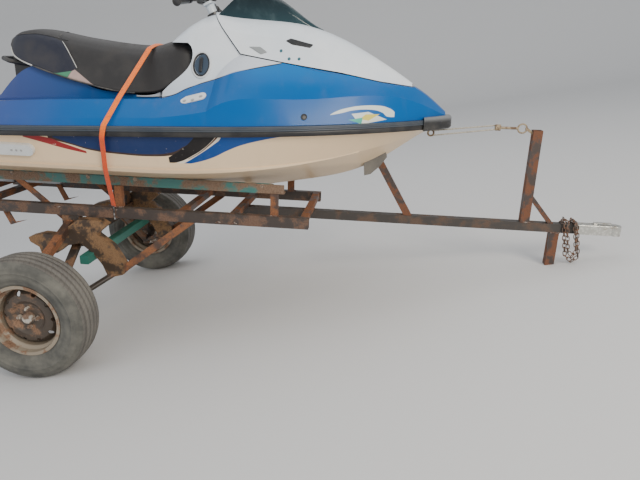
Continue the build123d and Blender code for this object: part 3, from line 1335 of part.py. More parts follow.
for side, hand in SIDES:
    with BuildPart() as tyre:
        with BuildSketch(Plane.YZ):
            with BuildLine():
                flange_in, wall_in, shoulder_in, crown, shoulder_out, wall_out, flange_out = across(
                    side,
                    [(-RIM_HALF - 6, RIM_R + 4), (-TYRE_W / 2, 250), (-TREAD_HALF, 315), (0, WHEEL_R),
                     (TREAD_HALF, 315), (TYRE_W / 2, 250), (RIM_HALF + 6, RIM_R + 4)],
                )
                roof_out, roof_mid, roof_in, side_out, side_in = across(side, [
                    (66, 302), (0, 310), (-66, 302), (84, 250), (-84, 250),
                ])
                bead_out = across(side, [
                    (RIM_HALF + 6, RIM_R + 4), (RIM_HALF - FIT, RIM_R + 1), (RIM_HALF - FIT, SEAT_R + FIT),
                    (RIM_HALF - 14, SEAT_R + FIT),
                ])
                bead_in = across(side, [
                    (14 - RIM_HALF, SEAT_R + FIT), (FIT - RIM_HALF, SEAT_R + FIT),
                    (FIT - RIM_HALF, RIM_R + 1), (-RIM_HALF - 6, RIM_R + 4),
                ])
                ThreePointArc(flange_in, wall_in, shoulder_in)
                ThreePointArc(shoulder_in, crown, shoulder_out)
                ThreePointArc(shoulder_out, wall_out, flange_out)
                Polyline(*bead_out)
                ThreePointArc(bead_out[-1], side_out, roof_out)
                ThreePointArc(roof_out, roof_mid, roof_in)
                ThreePointArc(roof_in, side_in, bead_in[0])
                Polyline(*bead_in)
            make_face()
        revolve(axis=WHEEL_AXIS)
    finish(tyre, f"tyre_{hand}")

    with BuildPart() as rim:
        with BuildSketch(Plane.YZ):
            with BuildLine():
                Polyline(
                    *across(side, [
                        (-RIM_HALF - 5, RIM_R), (-RIM_HALF, RIM_R), (-RIM_HALF, SEAT_R), (-48, SEAT_R - 2),
                        (-34, SEAT_R - 16), (26, SEAT_R - 16), (44, SEAT_R - 2), (RIM_HALF, SEAT_R),
                        (RIM_HALF, RIM_R), (RIM_HALF + 5, RIM_R), (RIM_HALF + 5, SEAT_R - 5),
                        (46, SEAT_R - 7), (28, SEAT_R - 21), (-36, SEAT_R - 21), (-50, SEAT_R - 7),
                        (-RIM_HALF - 5, SEAT_R - 5),
                    ]),
                    close=True,
                )
            make_face()
            with BuildLine():
                Polyline(
                    *across(side, [
                        (DISC_OUT, PILOT_R), (DISC_OUT, 74), (DISC_OUT + 14, 92), (DISC_OUT + 8, 128),
                        (-2, SEAT_R - 21), (-8, SEAT_R - 21), (DISC_OUT + 3, 124), (DISC_OUT + 9, 94),
                        (DISC_OUT - DISC_T, 78), (DISC_OUT - DISC_T, PILOT_R),
                    ]),
                    close=True,
                )
            make_face()
        revolve(axis=WHEEL_AXIS)
        wheel_face = Plane(
            origin=(0, side * (HUB_Y + DISC_OUT + 40), WHEEL_R), x_dir=(1, 0, 0), z_dir=(0, -side, 0)
        )
        with BuildSketch(wheel_face):
            with PolarLocations(VENT_RING_R, VENTS):
                Circle(VENT_R)
            with PolarLocations(STUD_RING_R, STUDS):
                Circle(7)
        extrude(amount=80, mode=Mode.SUBTRACT)
    finish(rim, f"rim_{hand}")

    with BuildPart() as hub:
        with BuildSketch(Plane.YZ):
            with BuildLine():
                Polyline(
                    *across(side, [
                        (KNUCKLE_IN + 4 - HUB_Y, 0), (KNUCKLE_IN + 4 - HUB_Y, BEARING_R),
                        (KNUCKLE_OUT + 6 - HUB_Y, BEARING_R), (KNUCKLE_OUT + 6 - HUB_Y, 44), (-44, 44),
                        (-44, DRUM_R), (DISC_OUT - DISC_T, DRUM_R), (DISC_OUT - DISC_T, PILOT_R - FIT),
                        (DISC_OUT + 26, PILOT_R - FIT - 4), (DISC_OUT + 26, 0),
                    ]),
                    close=True,
                )
            make_face()
        revolve(axis=WHEEL_AXIS)
        with BuildSketch(Plane(
            origin=(0, side * (HUB_Y + DISC_OUT - DISC_T), WHEEL_R), x_dir=(1, 0, 0), z_dir=(0, side, 0)
        )):
            with PolarLocations(STUD_RING_R, STUDS):
                Circle(6)
        extrude(amount=30)
        with BuildSketch(Plane(
            origin=(0, side * (HUB_Y + DISC_OUT + FIT), WHEEL_R), x_dir=(1, 0, 0), z_dir=(0, side, 0)
        )):
            with PolarLocations(STUD_RING_R, STUDS):
                RegularPolygon(11, 6)
        extrude(amount=16)
    finish(hub, f"hub_{hand}")

# Safety chain: links wrapped over the drawbar by the coupler, with two ends hanging
LINK_ROD = 3.0
LINK_PITCH = 22.0
LINK_W = 16.0
CHAIN_FALLS = ((2762.0, -33.3, 8), (2815.0, -33.3, 7))


def link(centre, turned):
    """One stadium link hanging at centre, its flat side turned about the fall."""
    flat = Plane(origin=centre, x_dir=(0, 0, 1), z_dir=(1, 0, 0) if turned else (0, 1, 0))
    with BuildPart() as ring:
        with BuildLine(flat) as loop:
            straight = LINK_PITCH - LINK_W / 2 + LINK_ROD
            Line((-straight / 2, LINK_W / 2 - LINK_ROD), (straight / 2, LINK_W / 2 - LINK_ROD))
            ThreePointArc(
                (straight / 2, LINK_W / 2 - LINK_ROD), (straight / 2 + LINK_W / 2 - LINK_ROD, 0),
                (straight / 2, LINK_ROD - LINK_W / 2),
            )
            Line((straight / 2, LINK_ROD - LINK_W / 2), (-straight / 2, LINK_ROD - LINK_W / 2))
            ThreePointArc(
                (-straight / 2, LINK_ROD - LINK_W / 2), (LINK_ROD - LINK_W / 2 - straight / 2, 0),
                (-straight / 2, LINK_W / 2 - LINK_ROD),
            )
        with BuildSketch(loop.wire() ^ 0):
            Circle(LINK_ROD)
        sweep(path=loop.wire())
    return ring.part


with BuildPart() as safety_chain:
    for x, y, count in CHAIN_FALLS:
        for index in range(count):
            add(link((x, y, DRAWBAR_TOP - 4 - index * LINK_PITCH), index % 2 == 0))
finish(safety_chain, "safety_chain")

# Parking: tip the level assembly onto its stand leg, centre it, and write one file for each piece
os.makedirs("parts", exist_ok=True)
PARKED = (
    Location((PARK_SHIFT, 0, WHEEL_R)) * Location((0, 0, 0), (0, PARK_TILT, 0)) * Location((0, 0, -WHEEL_R))
)
for piece in pieces:
    parked = piece.moved(PARKED)
    parked.label = piece.label
    export_step(parked, f"parts/{piece.label}.step")
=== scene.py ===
"""Looks for a personal watercraft tied down on its home-made trailer."""

import bmesh
import bpy
import math
from mathutils import Matrix, Vector
from mathutils.bvhtree import BVHTree


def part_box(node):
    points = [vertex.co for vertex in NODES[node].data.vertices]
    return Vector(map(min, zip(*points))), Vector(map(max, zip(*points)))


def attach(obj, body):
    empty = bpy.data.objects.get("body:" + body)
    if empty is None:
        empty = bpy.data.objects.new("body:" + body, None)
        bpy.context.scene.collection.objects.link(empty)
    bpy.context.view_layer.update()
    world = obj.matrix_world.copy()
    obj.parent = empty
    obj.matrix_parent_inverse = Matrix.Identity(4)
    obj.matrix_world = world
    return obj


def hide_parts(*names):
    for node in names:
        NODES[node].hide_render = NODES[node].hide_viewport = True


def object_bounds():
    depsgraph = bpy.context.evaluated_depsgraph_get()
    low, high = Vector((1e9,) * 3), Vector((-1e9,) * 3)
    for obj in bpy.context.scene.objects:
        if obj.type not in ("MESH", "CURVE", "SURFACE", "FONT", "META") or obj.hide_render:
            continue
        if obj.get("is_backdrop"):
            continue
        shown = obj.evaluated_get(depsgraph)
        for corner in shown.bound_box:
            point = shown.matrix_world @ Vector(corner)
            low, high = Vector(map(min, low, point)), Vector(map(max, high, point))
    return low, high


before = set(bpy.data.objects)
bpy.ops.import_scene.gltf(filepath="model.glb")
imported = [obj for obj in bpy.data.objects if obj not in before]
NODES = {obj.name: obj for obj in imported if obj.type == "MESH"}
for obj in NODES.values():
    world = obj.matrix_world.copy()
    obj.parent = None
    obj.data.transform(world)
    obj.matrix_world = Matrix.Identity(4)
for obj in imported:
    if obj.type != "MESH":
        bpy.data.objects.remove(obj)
low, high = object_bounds()

# ---------------------------------------------------------------------------------------------
# Trailer steelwork: home-made frame of box section and angle iron, brush painted years ago and
# now rusting through. The parked trailer leans nose down, so patterns are read in its own level.
# ---------------------------------------------------------------------------------------------
TILT = math.radians(10.65)
SHIFT = -1.19914
AXLE_H = 0.324


def parked(x, y, z):
    """Place of a point given level with the rails, metres ahead of the axle and above its ground."""
    return Vector((
        x * math.cos(TILT) + (z - AXLE_H) * math.sin(TILT) + SHIFT, y,
        (z - AXLE_H) * math.cos(TILT) - x * math.sin(TILT) + AXLE_H,
    ))


def feed(tree, socket, value):
    """Links a socket to another one, or sets it to a number, a vector or an RGB triple."""
    if isinstance(value, bpy.types.NodeSocket):
        tree.links.new(value, socket)
    else:
        socket.default_value = (*value, 1) if socket.type == "RGBA" and len(value) == 3 else value


def node(tree, kind, settings=None, **inputs):
    """New node with its settings, and its inputs fed by name; spaces in the names are underscores here."""
    made = tree.nodes.new(kind)
    for name, value in (settings or {}).items():
        setattr(made, name, value)
    for name, value in inputs.items():
        feed(tree, made.inputs[name.replace("_", " ")], value)
    return made


def level_place(tree):
    """Object coordinates turned level with the rails: x, y and z sockets, and the whole vector."""
    level = node(
        tree, "ShaderNodeMapping", Vector=tree.nodes.new("ShaderNodeTexCoord").outputs["Object"],
        Rotation=(0, -TILT, 0),
        Location=(AXLE_H * math.sin(TILT) - SHIFT * math.cos(TILT), 0,
                  AXLE_H - AXLE_H * math.cos(TILT) - SHIFT * math.sin(TILT)),
    ).outputs["Vector"]
    return *node(tree, "ShaderNodeSeparateXYZ", Vector=level).outputs, level


def map_place(tree, name):
    """Sockets of the two directions of a piece's own map."""
    source = tree.nodes.new("ShaderNodeUVMap")
    source.uv_map = name
    return node(tree, "ShaderNodeSeparateXYZ", Vector=source.outputs["UV"]).outputs[:2]


def noise(tree, vector, scale, detail=4.0, roughness=0.55, stretch=None):
    """Noise mask over a vector, optionally squeezed along its axes."""
    if stretch:
        vector = node(tree, "ShaderNodeMapping", Vector=vector, Scale=stretch).outputs["Vector"]
    return node(tree, "ShaderNodeTexNoise", Vector=vector, Scale=scale, Detail=detail,
                Roughness=roughness).outputs["Fac"]


def cells(tree, vector, scale):
    """Distance to the middle of each cell of a random pattern."""
    return node(tree, "ShaderNodeTexVoronoi", Vector=vector, Scale=scale).outputs["Distance"]


def ramp(tree, mask, start, end, low=0.0, high=1.0):
    """Mask rising from low at start to high at end."""
    made = node(tree, "ShaderNodeMapRange", Value=mask, From_Min=start, From_Max=end, To_Min=low, To_Max=high)
    made.interpolation_type = "SMOOTHSTEP"
    return made.outputs["Result"]


def calc(tree, operation, *values, kind="ShaderNodeMath", output="Value"):
    """Math node over sockets or plain values."""
    made = tree.nodes.new(kind)
    made.operation = operation
    for socket, value in zip(made.inputs, values):
        feed(tree, socket, value)
    return made.outputs[output]


def product(tree, whole, *masks):
    """Masks or numbers multiplied together."""
    for mask in masks:
        whole = calc(tree, "MULTIPLY", whole, mask)
    return whole


def mixed(tree, mask, under, over):
    """Colour over laid on colour under where the mask is 1; colours are sockets or RGB triples."""
    made = tree.nodes.new("ShaderNodeMix")
    made.data_type = "RGBA"
    for index, value in ((0, mask), (6, under), (7, over)):  # factor, colour A and colour B
        feed(tree, made.inputs[index], value)
    return made.outputs[2]


def bumped(tree, height, strength, distance):
    """Normal from a height mask."""
    return node(tree, "ShaderNodeBump", Height=height, Strength=strength, Distance=distance).outputs["Normal"]


def new_material(name, roughness, metallic=0.0, coat=0.0, ior=1.5):
    """Material with a Principled shader; returns it with its tree and shader."""
    material = bpy.data.materials.new(name)
    material.use_nodes = True
    shader = material.node_tree.nodes["Principled BSDF"]
    for socket, value in (("Roughness", roughness), ("Metallic", metallic), ("Coat Weight", coat),
                          ("Coat Roughness", 0.06), ("IOR", ior)):
        shader.inputs[socket].default_value = value
    return material, material.node_tree, shader


def wire(tree, shader, color, roughness=None, normal=None):
    """Feeds the shader's colour, roughness and normal."""
    for name, value in (("Base Color", color), ("Roughness", roughness), ("Normal", normal)):
        if value is not None:
            feed(tree, shader.inputs[name], value)


def new_group(name, **inputs):
    """Shader group of a worn finish, with a place, colours and numbers as inputs; returns it with them."""
    group = bpy.data.node_groups.new(name, "ShaderNodeTree")
    group.interface.new_socket(name="Place", in_out="INPUT", socket_type="NodeSocketVector")
    for socket, value in inputs.items():
        kind = "NodeSocketColor" if isinstance(value, tuple) else "NodeSocketFloat"
        group.interface.new_socket(name=socket, in_out="INPUT", socket_type=kind).default_value = value
    for socket, kind in (("Color", "Color"), ("Roughness", "Float"), ("Height", "Float")):
        group.interface.new_socket(name=socket, in_out="OUTPUT", socket_type="NodeSocket" + kind)
    return group, group.nodes.new("NodeGroupInput").outputs


def coated(tree, shader, group, strength, depth, **values):
    """Lays the finish of a shader group on a shader, its height as a bump."""
    made = tree.nodes.new("ShaderNodeGroup")
    made.node_tree = group
    for name, value in values.items():
        feed(tree, made.inputs[name], value)
    wire(tree, shader, made.outputs["Color"], made.outputs["Roughness"],
         bumped(tree, made.outputs["Height"], strength, depth))


rust_group, rust_in = new_group("RustThroughPaint", Paint=(0.1, 0.1, 0.1, 1), Rust=(0.2, 0.08, 0.04, 1),
                                Amount=0.5, Scale=12.0)
patches = noise(rust_group, rust_in["Place"], rust_in["Scale"], 6.0, 0.62)
grit = noise(rust_group, rust_in["Place"], 160.0, 3.0, 0.6)
paint_left = calc(rust_group, "MULTIPLY_ADD", calc(rust_group, "SUBTRACT", 1.0, rust_in["Amount"]), 0.5, 0.5)
edge = calc(rust_group, "ADD", calc(rust_group, "SUBTRACT", patches, paint_left),
            product(rust_group, calc(rust_group, "SUBTRACT", grit, 0.5), 0.12))
rusted = ramp(rust_group, edge, -0.16, -0.04)
dark_rust = mixed(rust_group, ramp(rust_group, grit, 0.15, 0.66), (0.07, 0.035, 0.022), rust_in["Rust"])
node(rust_group, "NodeGroupOutput",
     Color=mixed(rust_group, rusted, rust_in["Paint"], dark_rust),
     Roughness=ramp(rust_group, rusted, 0, 1, 0.48, 0.86),
     Height=calc(rust_group, "SUBTRACT", product(rust_group, grit, 0.5), product(rust_group, rusted, 0.6)))


def steel_material(name, paint, rust, amount, scale):
    """Painted steel with rust patches, read level with the rails; paint and amount may be functions."""
    material, tree, shader = new_material(name, 0.6)
    x, _, _, vector = level_place(tree)
    coated(tree, shader, rust_group, 0.5, 0.0012, Place=vector, Paint=paint(tree) if callable(paint) else paint,
           Rust=rust, Amount=amount(tree, x) if callable(amount) else amount, Scale=scale)
    return material


def dress(material, *names):
    """Gives CAD nodes their material."""
    for name in names:
        NODES[name].data.materials.clear()
        NODES[name].data.materials.append(material)


def rustier_ahead(tree, x):
    """Amount of rust on the bunks, whole at their front ends."""
    return ramp(tree, x, 1.04, 1.09, 0.82, 1.3)


for name, paint, rust, amount, scale, nodes in (
    ("rail_paint", (0.045, 0.034, 0.029), (0.15, 0.09, 0.062), 0.74, 9.0, ("rail_right", "rail_left")),
    ("rusty_steel", (0.06, 0.036, 0.027), (0.25, 0.10, 0.042), 0.84, 11.0,
     ("cross_members", "bunk_posts", "upper_struts", "radius_braces", "frame_braces")),
    ("post_rust", (0.045, 0.032, 0.027), (0.16, 0.062, 0.03), 0.84, 16.0, ("bow_arm", "winch_post", "stand_leg")),
    ("drawbar_paint", (0.04, 0.034, 0.03), (0.1, 0.068, 0.05), 0.72, 9.0, ("drawbar",)),
    ("bunk_paint", (0.04, 0.15, 0.135), (0.21, 0.14, 0.095), rustier_ahead, 8.0, ("bunk_angles",)),
    ("board_paint", (0.045, 0.14, 0.12), (0.30, 0.22, 0.14), 0.8, 14.0, ("bunk_boards",)),
    ("chassis_dirt", (0.04, 0.03, 0.024), (0.2, 0.11, 0.06), 0.78, 12.0,
     ("subframe", "lower_arms", "knuckles", "steering_rack")),
    ("casting_rust", (0.055, 0.038, 0.027), (0.25, 0.145, 0.07), 0.82, 12.0, ("castings",)),
    ("tie_paint", (0.03, 0.16, 0.125), (0.16, 0.12, 0.08), 0.35, 18.0, ("cross_tie",)),
    ("tan_zinc", (0.30, 0.23, 0.14), (0.16, 0.1, 0.06), 0.76, 45.0, ("line_tensioner", "bow_eye")),
    ("hook_wire", (0.022, 0.022, 0.024), (0.3, 0.3, 0.31), 0.72, 40.0, ("strap_hooks",)),
):
    dress(steel_material(name, paint, rust, amount, scale), *nodes)
bright_zinc, zinc_tree, zinc_shader = new_material("bright_zinc", 0.4, metallic=0.75)
zinc_place = level_place(zinc_tree)[3]
stain = ramp(zinc_tree, noise(zinc_tree, zinc_place, 24.0, 5.0, 0.65), 0.5, 0.72)
spangle = mixed(zinc_tree, ramp(zinc_tree, cells(zinc_tree, zinc_place, 70.0), 0.1, 0.7),
                (0.62, 0.62, 0.58), (0.46, 0.46, 0.43))
wire(zinc_tree, zinc_shader, mixed(zinc_tree, stain, spangle, (0.26, 0.21, 0.15)),
     ramp(zinc_tree, stain, 0, 1, 0.3, 0.7), bumped(zinc_tree, stain, 0.3, 0.0006))
dress(bright_zinc, "coupler")

# ---------------------------------------------------------------------------------------------
# Bolts and welds of the trailer: hexagon heads on washers through the bunks, and short rough arc
# welds, burnt dark at their edges, where the rails, posts and braces meet.
# ---------------------------------------------------------------------------------------------
HANDS = ((-1, "right"), (1, "left"))


def geometry_tree(name, **values):
    """Geometry tree with a geometry, the named numbers and a material as inputs; returns it with them."""
    tree = bpy.data.node_groups.new(name, "GeometryNodeTree")
    tree.interface.new_socket(name="Geometry", in_out="INPUT", socket_type="NodeSocketGeometry")
    for socket, value in values.items():
        kind = "NodeSocketInt" if isinstance(value, int) else "NodeSocketFloat"
        tree.interface.new_socket(name=socket.replace("_", " "), in_out="INPUT", socket_type=kind).default_value = value
    tree.interface.new_socket(name="Material", in_out="INPUT", socket_type="NodeSocketMaterial")
    tree.interface.new_socket(name="Geometry", in_out="OUTPUT", socket_type="NodeSocketGeometry")
    return tree, tree.nodes.new("NodeGroupInput").outputs


def end_tree(tree, entry, shape, points, **turn_or_scale):
    """Ends a geometry tree in a shape set on points, Realize Instances and Set Material."""
    placed_shapes = node(tree, "GeometryNodeInstanceOnPoints", Points=points, Instance=shape, **turn_or_scale)
    whole = node(tree, "GeometryNodeRealizeInstances", Geometry=placed_shapes.outputs["Instances"])
    paint = node(tree, "GeometryNodeSetMaterial", Geometry=whole.outputs["Geometry"], Material=entry["Material"])
    node(tree, "NodeGroupOutput", Geometry=paint.outputs["Geometry"])


def mesh_points(tree, entry):
    """Points at the vertices of the tree's own geometry."""
    return node(tree, "GeometryNodeMeshToPoints", Mesh=entry["Geometry"]).outputs["Points"]


def turned_to(tree, attribute, axis, pivot="AUTO", **before):
    """Rotation that turns an axis along a point's named direction."""
    way = tree.nodes.new("GeometryNodeInputNamedAttribute")
    way.data_type = "FLOAT_VECTOR"
    way.inputs["Name"].default_value = attribute
    turn = node(tree, "FunctionNodeAlignRotationToVector", Vector=way.outputs["Attribute"], **before)
    turn.axis, turn.pivot_axis = axis, pivot
    return turn.outputs["Rotation"]


def placed(name, data):
    """New object in the scene."""
    made = bpy.data.objects.new(name, data)
    bpy.context.scene.collection.objects.link(made)
    return made


def grown(name, source, tree, **values):
    """Mesh object that a geometry tree makes from a source mesh; the source is removed."""
    modifier = source.modifiers.new("grow", "NODES")
    modifier.node_group = tree
    for item in tree.interface.items_tree:
        key = item.name.replace(" ", "_")
        if item.item_type == "SOCKET" and item.in_out == "INPUT" and key in values:
            modifier[item.identifier] = values[key]
    bpy.context.view_layer.update()
    mesh = bpy.data.meshes.new_from_object(source.evaluated_get(bpy.context.evaluated_depsgraph_get()))
    mesh.name = name
    bpy.data.objects.remove(source)
    return placed(name, mesh)


def points_object(name, spots, **ways):
    """Loose points, each with its named directions."""
    mesh = bpy.data.meshes.new(name)
    mesh.from_pydata(spots, [], [])
    for attribute, values in ways.items():
        entries = mesh.attributes.new(attribute, "FLOAT_VECTOR", "POINT").data
        for entry, value in zip(entries, values):
            entry.vector = value
    return placed(name, mesh)


def on_body(made, slot, *hidden, body="craft_and_trailer"):
    """Puts a piece on its body and hides the CAD nodes that it stands for; its slot is not used."""
    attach(made, body)
    if hidden:
        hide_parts(*hidden)
    return made


RAY_FROM = 1.2  # metres beside the middle, clear of every node
skins = {}


def side_hit(under, x, z, side):
    """Point and outward normal of a CAD node's flank at a level place, met by a ray from that side."""
    if under not in skins:
        mesh = NODES[under].data
        skins[under] = BVHTree.FromPolygons([v.co for v in mesh.vertices], [p.vertices for p in mesh.polygons])
    way = Vector((0, -side, 0))
    spot, normal = skins[under].ray_cast(parked(x, side * RAY_FROM, z), way)[:2]
    if spot is None:
        raise ValueError(f"no flank of {under} at {x}, {z}")
    return spot, normal if normal.dot(way) < 0 else -normal


WASHER_SIDES, WASHER_THICK = 16, 0.0024
stud_tree, stud_in = geometry_tree("BoltHeads", Head_Radius=0.008, Head_Height=0.006, Washer_Radius=0.012, Sides=6)
stud = node(stud_tree, "GeometryNodeMeshCylinder", Radius=stud_in["Head Radius"], Vertices=stud_in["Sides"],
            Depth=stud_in["Head Height"])
lift_by = node(stud_tree, "ShaderNodeCombineXYZ", Z=product(stud_tree, stud_in["Head Height"], 0.5))
lifted = node(stud_tree, "GeometryNodeTransform", Geometry=stud.outputs["Mesh"],
              Translation=lift_by.outputs["Vector"])
washer = node(stud_tree, "GeometryNodeMeshCylinder", Radius=stud_in["Washer Radius"], Vertices=WASHER_SIDES,
              Depth=WASHER_THICK)
stud_parts = node(stud_tree, "GeometryNodeJoinGeometry", Geometry=lifted.outputs["Geometry"])
stud_tree.links.new(washer.outputs["Mesh"], stud_parts.inputs["Geometry"])
end_tree(stud_tree, stud_in, stud_parts.outputs["Geometry"], mesh_points(stud_tree, stud_in),
         Rotation=turned_to(stud_tree, "facing", "Z"))


def fastened(name, slot, under, spots, material, head, height, washer, sides=6):
    """Bolt or screw heads on both flanks of a node, at level x and z places."""
    hits = [side_hit(under, x, z, side) for side in (-1, 1) for x, z in spots]
    source = points_object(name + "_spots", [spot for spot, _ in hits], facing=[way for _, way in hits])
    on_body(grown(name, source, stud_tree, Head_Radius=head, Head_Height=height, Washer_Radius=washer, Sides=sides,
                  Material=material), slot)


bolt_rust = steel_material("bolt_rust", (0.1, 0.07, 0.055), (0.36, 0.27, 0.2), 0.85, 70.0)
fastened("bunk_bolts", "rusty_steel", "bunk_angles", [(x, 0.946) for x in (-0.34, 0.108, 0.38, 1.09)], bolt_rust,
         0.0075, 0.005, 0.012)

bead_tree, bead_in = geometry_tree("WeldBeads", Spacing=0.004, Bead_Radius=0.005)
bead_line = node(bead_tree, "GeometryNodeMeshToCurve", Mesh=bead_in["Geometry"]).outputs["Curve"]
bead_steps = node(bead_tree, "GeometryNodeCurveToPoints", {"mode": "LENGTH"}, Curve=bead_line,
                  Length=bead_in["Spacing"])
bead_drop = node(bead_tree, "GeometryNodeMeshIcoSphere", Radius=bead_in["Bead Radius"], Subdivisions=2)
bead_size = node(bead_tree, "FunctionNodeRandomValue", {"data_type": "FLOAT"}, Seed=7)
for index, share in ((2, 0.7), (3, 1.25)):  # inputs of the least and the most size
    bead_size.inputs[index].default_value = share
end_tree(bead_tree, bead_in, bead_drop.outputs["Mesh"], bead_steps.outputs["Points"], Scale=bead_size.outputs[1])

RAIL_FACE, RAIL_UP = 0.331, 0.7875
weld_lines = [
    tuple((x + ahead, side * y, z) for ahead, y, z in shape)
    for places, shape in (
        ((-0.085, 0.245, -0.68), ((0, RAIL_FACE, 0.777), (0.014, RAIL_FACE, 0.770), (0.032, RAIL_FACE, 0.776))),
        ((0.84, 0.93), ((0, RAIL_FACE, 0.736), (0.012, RAIL_FACE, 0.742), (0.024, RAIL_FACE, 0.737))),
        ((-0.56, 0.28, 1.157), ((-0.024, 0.315, RAIL_UP), (0.024, 0.315, RAIL_UP), (0.026, 0.302, RAIL_UP))),
    ) for side in (-1, 1) for x in places
]
weld_lines += [((2.529, -0.026, 0.755), (2.581, -0.026, 0.755), (2.582, 0.0, 0.755)),
               ((2.703, -0.026, 0.703), (2.753, -0.026, 0.703), (2.754, 0.0, 0.703))]
weld_points = [parked(*p) for line in weld_lines for p in line]
weld_mesh = bpy.data.meshes.new("weld_lines")
weld_mesh.from_pydata(weld_points, [(i, i + 1) for i in range(len(weld_points)) if i % 3 < 2], [])
weld_burn = steel_material("weld_burn", (0.24, 0.20, 0.175), (0.12, 0.06, 0.04), 0.85, 60.0)
on_body(grown("frame_welds", placed("weld_lines", weld_mesh), bead_tree, Spacing=0.004, Bead_Radius=0.0038,
              Material=weld_burn), "rusty_steel")

# ---------------------------------------------------------------------------------------------
# Safety chain: worn short-link chain, thrown twice over the drawbar behind the coupler, its
# bights hanging plumb and ending just above the ground.
# ---------------------------------------------------------------------------------------------
link_tree, link_in = geometry_tree("ChainLinks", Link_Width=0.018, Link_Length=0.030, Rod_Radius=0.0028)
link_frame = node(link_tree, "GeometryNodeCurvePrimitiveQuadrilateral", Width=link_in["Link Width"],
                  Height=link_in["Link Length"])
link_round = node(link_tree, "GeometryNodeFilletCurve", {"mode": "POLY"}, Curve=link_frame.outputs["Curve"],
                  Count=5, Radius=product(link_tree, link_in["Link Width"], 0.48))
link_stand = node(link_tree, "GeometryNodeTransform", Geometry=link_round.outputs["Curve"],
                  Rotation=(math.pi / 2, 0, 0))
link_rod = node(link_tree, "GeometryNodeCurvePrimitiveCircle", Resolution=8, Radius=link_in["Rod Radius"])
link_body = node(link_tree, "GeometryNodeCurveToMesh", Curve=link_stand.outputs["Geometry"],
                 Profile_Curve=link_rod.outputs["Curve"])
end_tree(link_tree, link_in, link_body.outputs["Mesh"], mesh_points(link_tree, link_in),
         Rotation=turned_to(link_tree, "wide", "X", "Z", Rotation=turned_to(link_tree, "facing", "Z")))

LINK_STEP, CHAIN_Y, CHAIN_TOP, CHAIN_OVER, CHAIN_INSET, BIGHT = 0.0235, 0.0345, 0.752, 0.7605, 0.012, 0.03
link_spots, link_runs, link_ways = [], [], []
for rear, front, y, drop in ((2.768, 2.840, CHAIN_Y, 0.213), (2.782, 2.826, CHAIN_Y + 0.013, 0.178)):
    tops = [parked(x, -y, CHAIN_TOP) for x in (rear, front)]
    bights = [top - Vector((0, 0, drop - BIGHT)) for top in tops]
    sag = (bights[0] + bights[1]) / 2 - Vector((0, 0, BIGHT))
    over = CHAIN_OVER + y - CHAIN_Y
    behind, before = (
        [parked(x, y, foot), parked(x, y, 0.75), parked(x, y - CHAIN_INSET, over), parked(x, CHAIN_INSET - y, over)]
        for x, foot in ((rear, 0.712), (front, 0.70)))
    chain_path = [*behind, tops[0], bights[0], sag, bights[1], tops[1], *reversed(before)]
    along, index = 0.0, 0
    for a, b in zip(chain_path, chain_path[1:]):
        run = b - a
        while along <= run.length:
            wide = run.cross(Vector((1, 0, 0))).normalized()
            link_spots.append(a + run.normalized() * along)
            link_runs.append(run.normalized())
            link_ways.append(wide if index % 2 else run.cross(wide).normalized())
            along, index = along + LINK_STEP, index + 1
        along -= run.length
chain_steel = steel_material("chain_steel", (0.10, 0.075, 0.06), (0.2, 0.11, 0.07), 0.8, 40.0)
on_body(grown("short_link_chain", points_object("chain_spots", link_spots, facing=link_runs, wide=link_ways), link_tree,
              Link_Width=0.018, Link_Length=0.030, Rod_Radius=0.0028, Material=chain_steel),
        "chain_steel", "safety_chain")

# ---------------------------------------------------------------------------------------------
# Wheels: small worn car tyres, grey with dust, moulded with four grooves and sipes round the
# tread, on pressed steel rims with a rusty tan finish, paler on the lip partly as a painted highlight, and plated nuts.
# ---------------------------------------------------------------------------------------------
TREAD_R, TREAD_DROP, TREAD_EDGE = 0.3238, 0.0088, 0.079
GROOVES = (-0.052, -0.018, 0.018, 0.052)
GROOVE_SHAPE = ((-0.0055, 0), (-0.004, 0.0065), (0.004, 0.0065), (0.0055, 0))  # across, deep
TYRE_TURNS, SIPE_TURN = 144, 0.5  # steps round the tyre, sipes to a step
OFF_TREAD = 2.0  # place across the map for the walls, outside the tread's 0 to 1


def solid(name, points, faces, material):
    """Smooth mesh object from points and faces, with its faces turned outwards."""
    mesh = bpy.data.meshes.new(name)
    mesh.from_pydata([tuple(p) for p in points], [], faces)
    work = bmesh.new()
    work.from_mesh(mesh)
    bmesh.ops.recalc_face_normals(work, faces=work.faces)
    work.to_mesh(mesh)
    work.free()
    mesh.materials.append(material)
    mesh.shade_smooth()
    return placed(name, mesh)


def ring_quads(rings, count, closed=False):
    """Faces between rings of count points, and back to the first ring if closed."""
    whole = rings * count
    return [
        (a * count + i, a * count + (i + 1) % count, ((a + 1) * count + (i + 1) % count) % whole,
         ((a + 1) * count + i) % whole)
        for a in range(rings if closed else rings - 1) for i in range(count)
    ]


def tread_radius(y):
    return TREAD_R - TREAD_DROP * (y / 0.08) ** 2


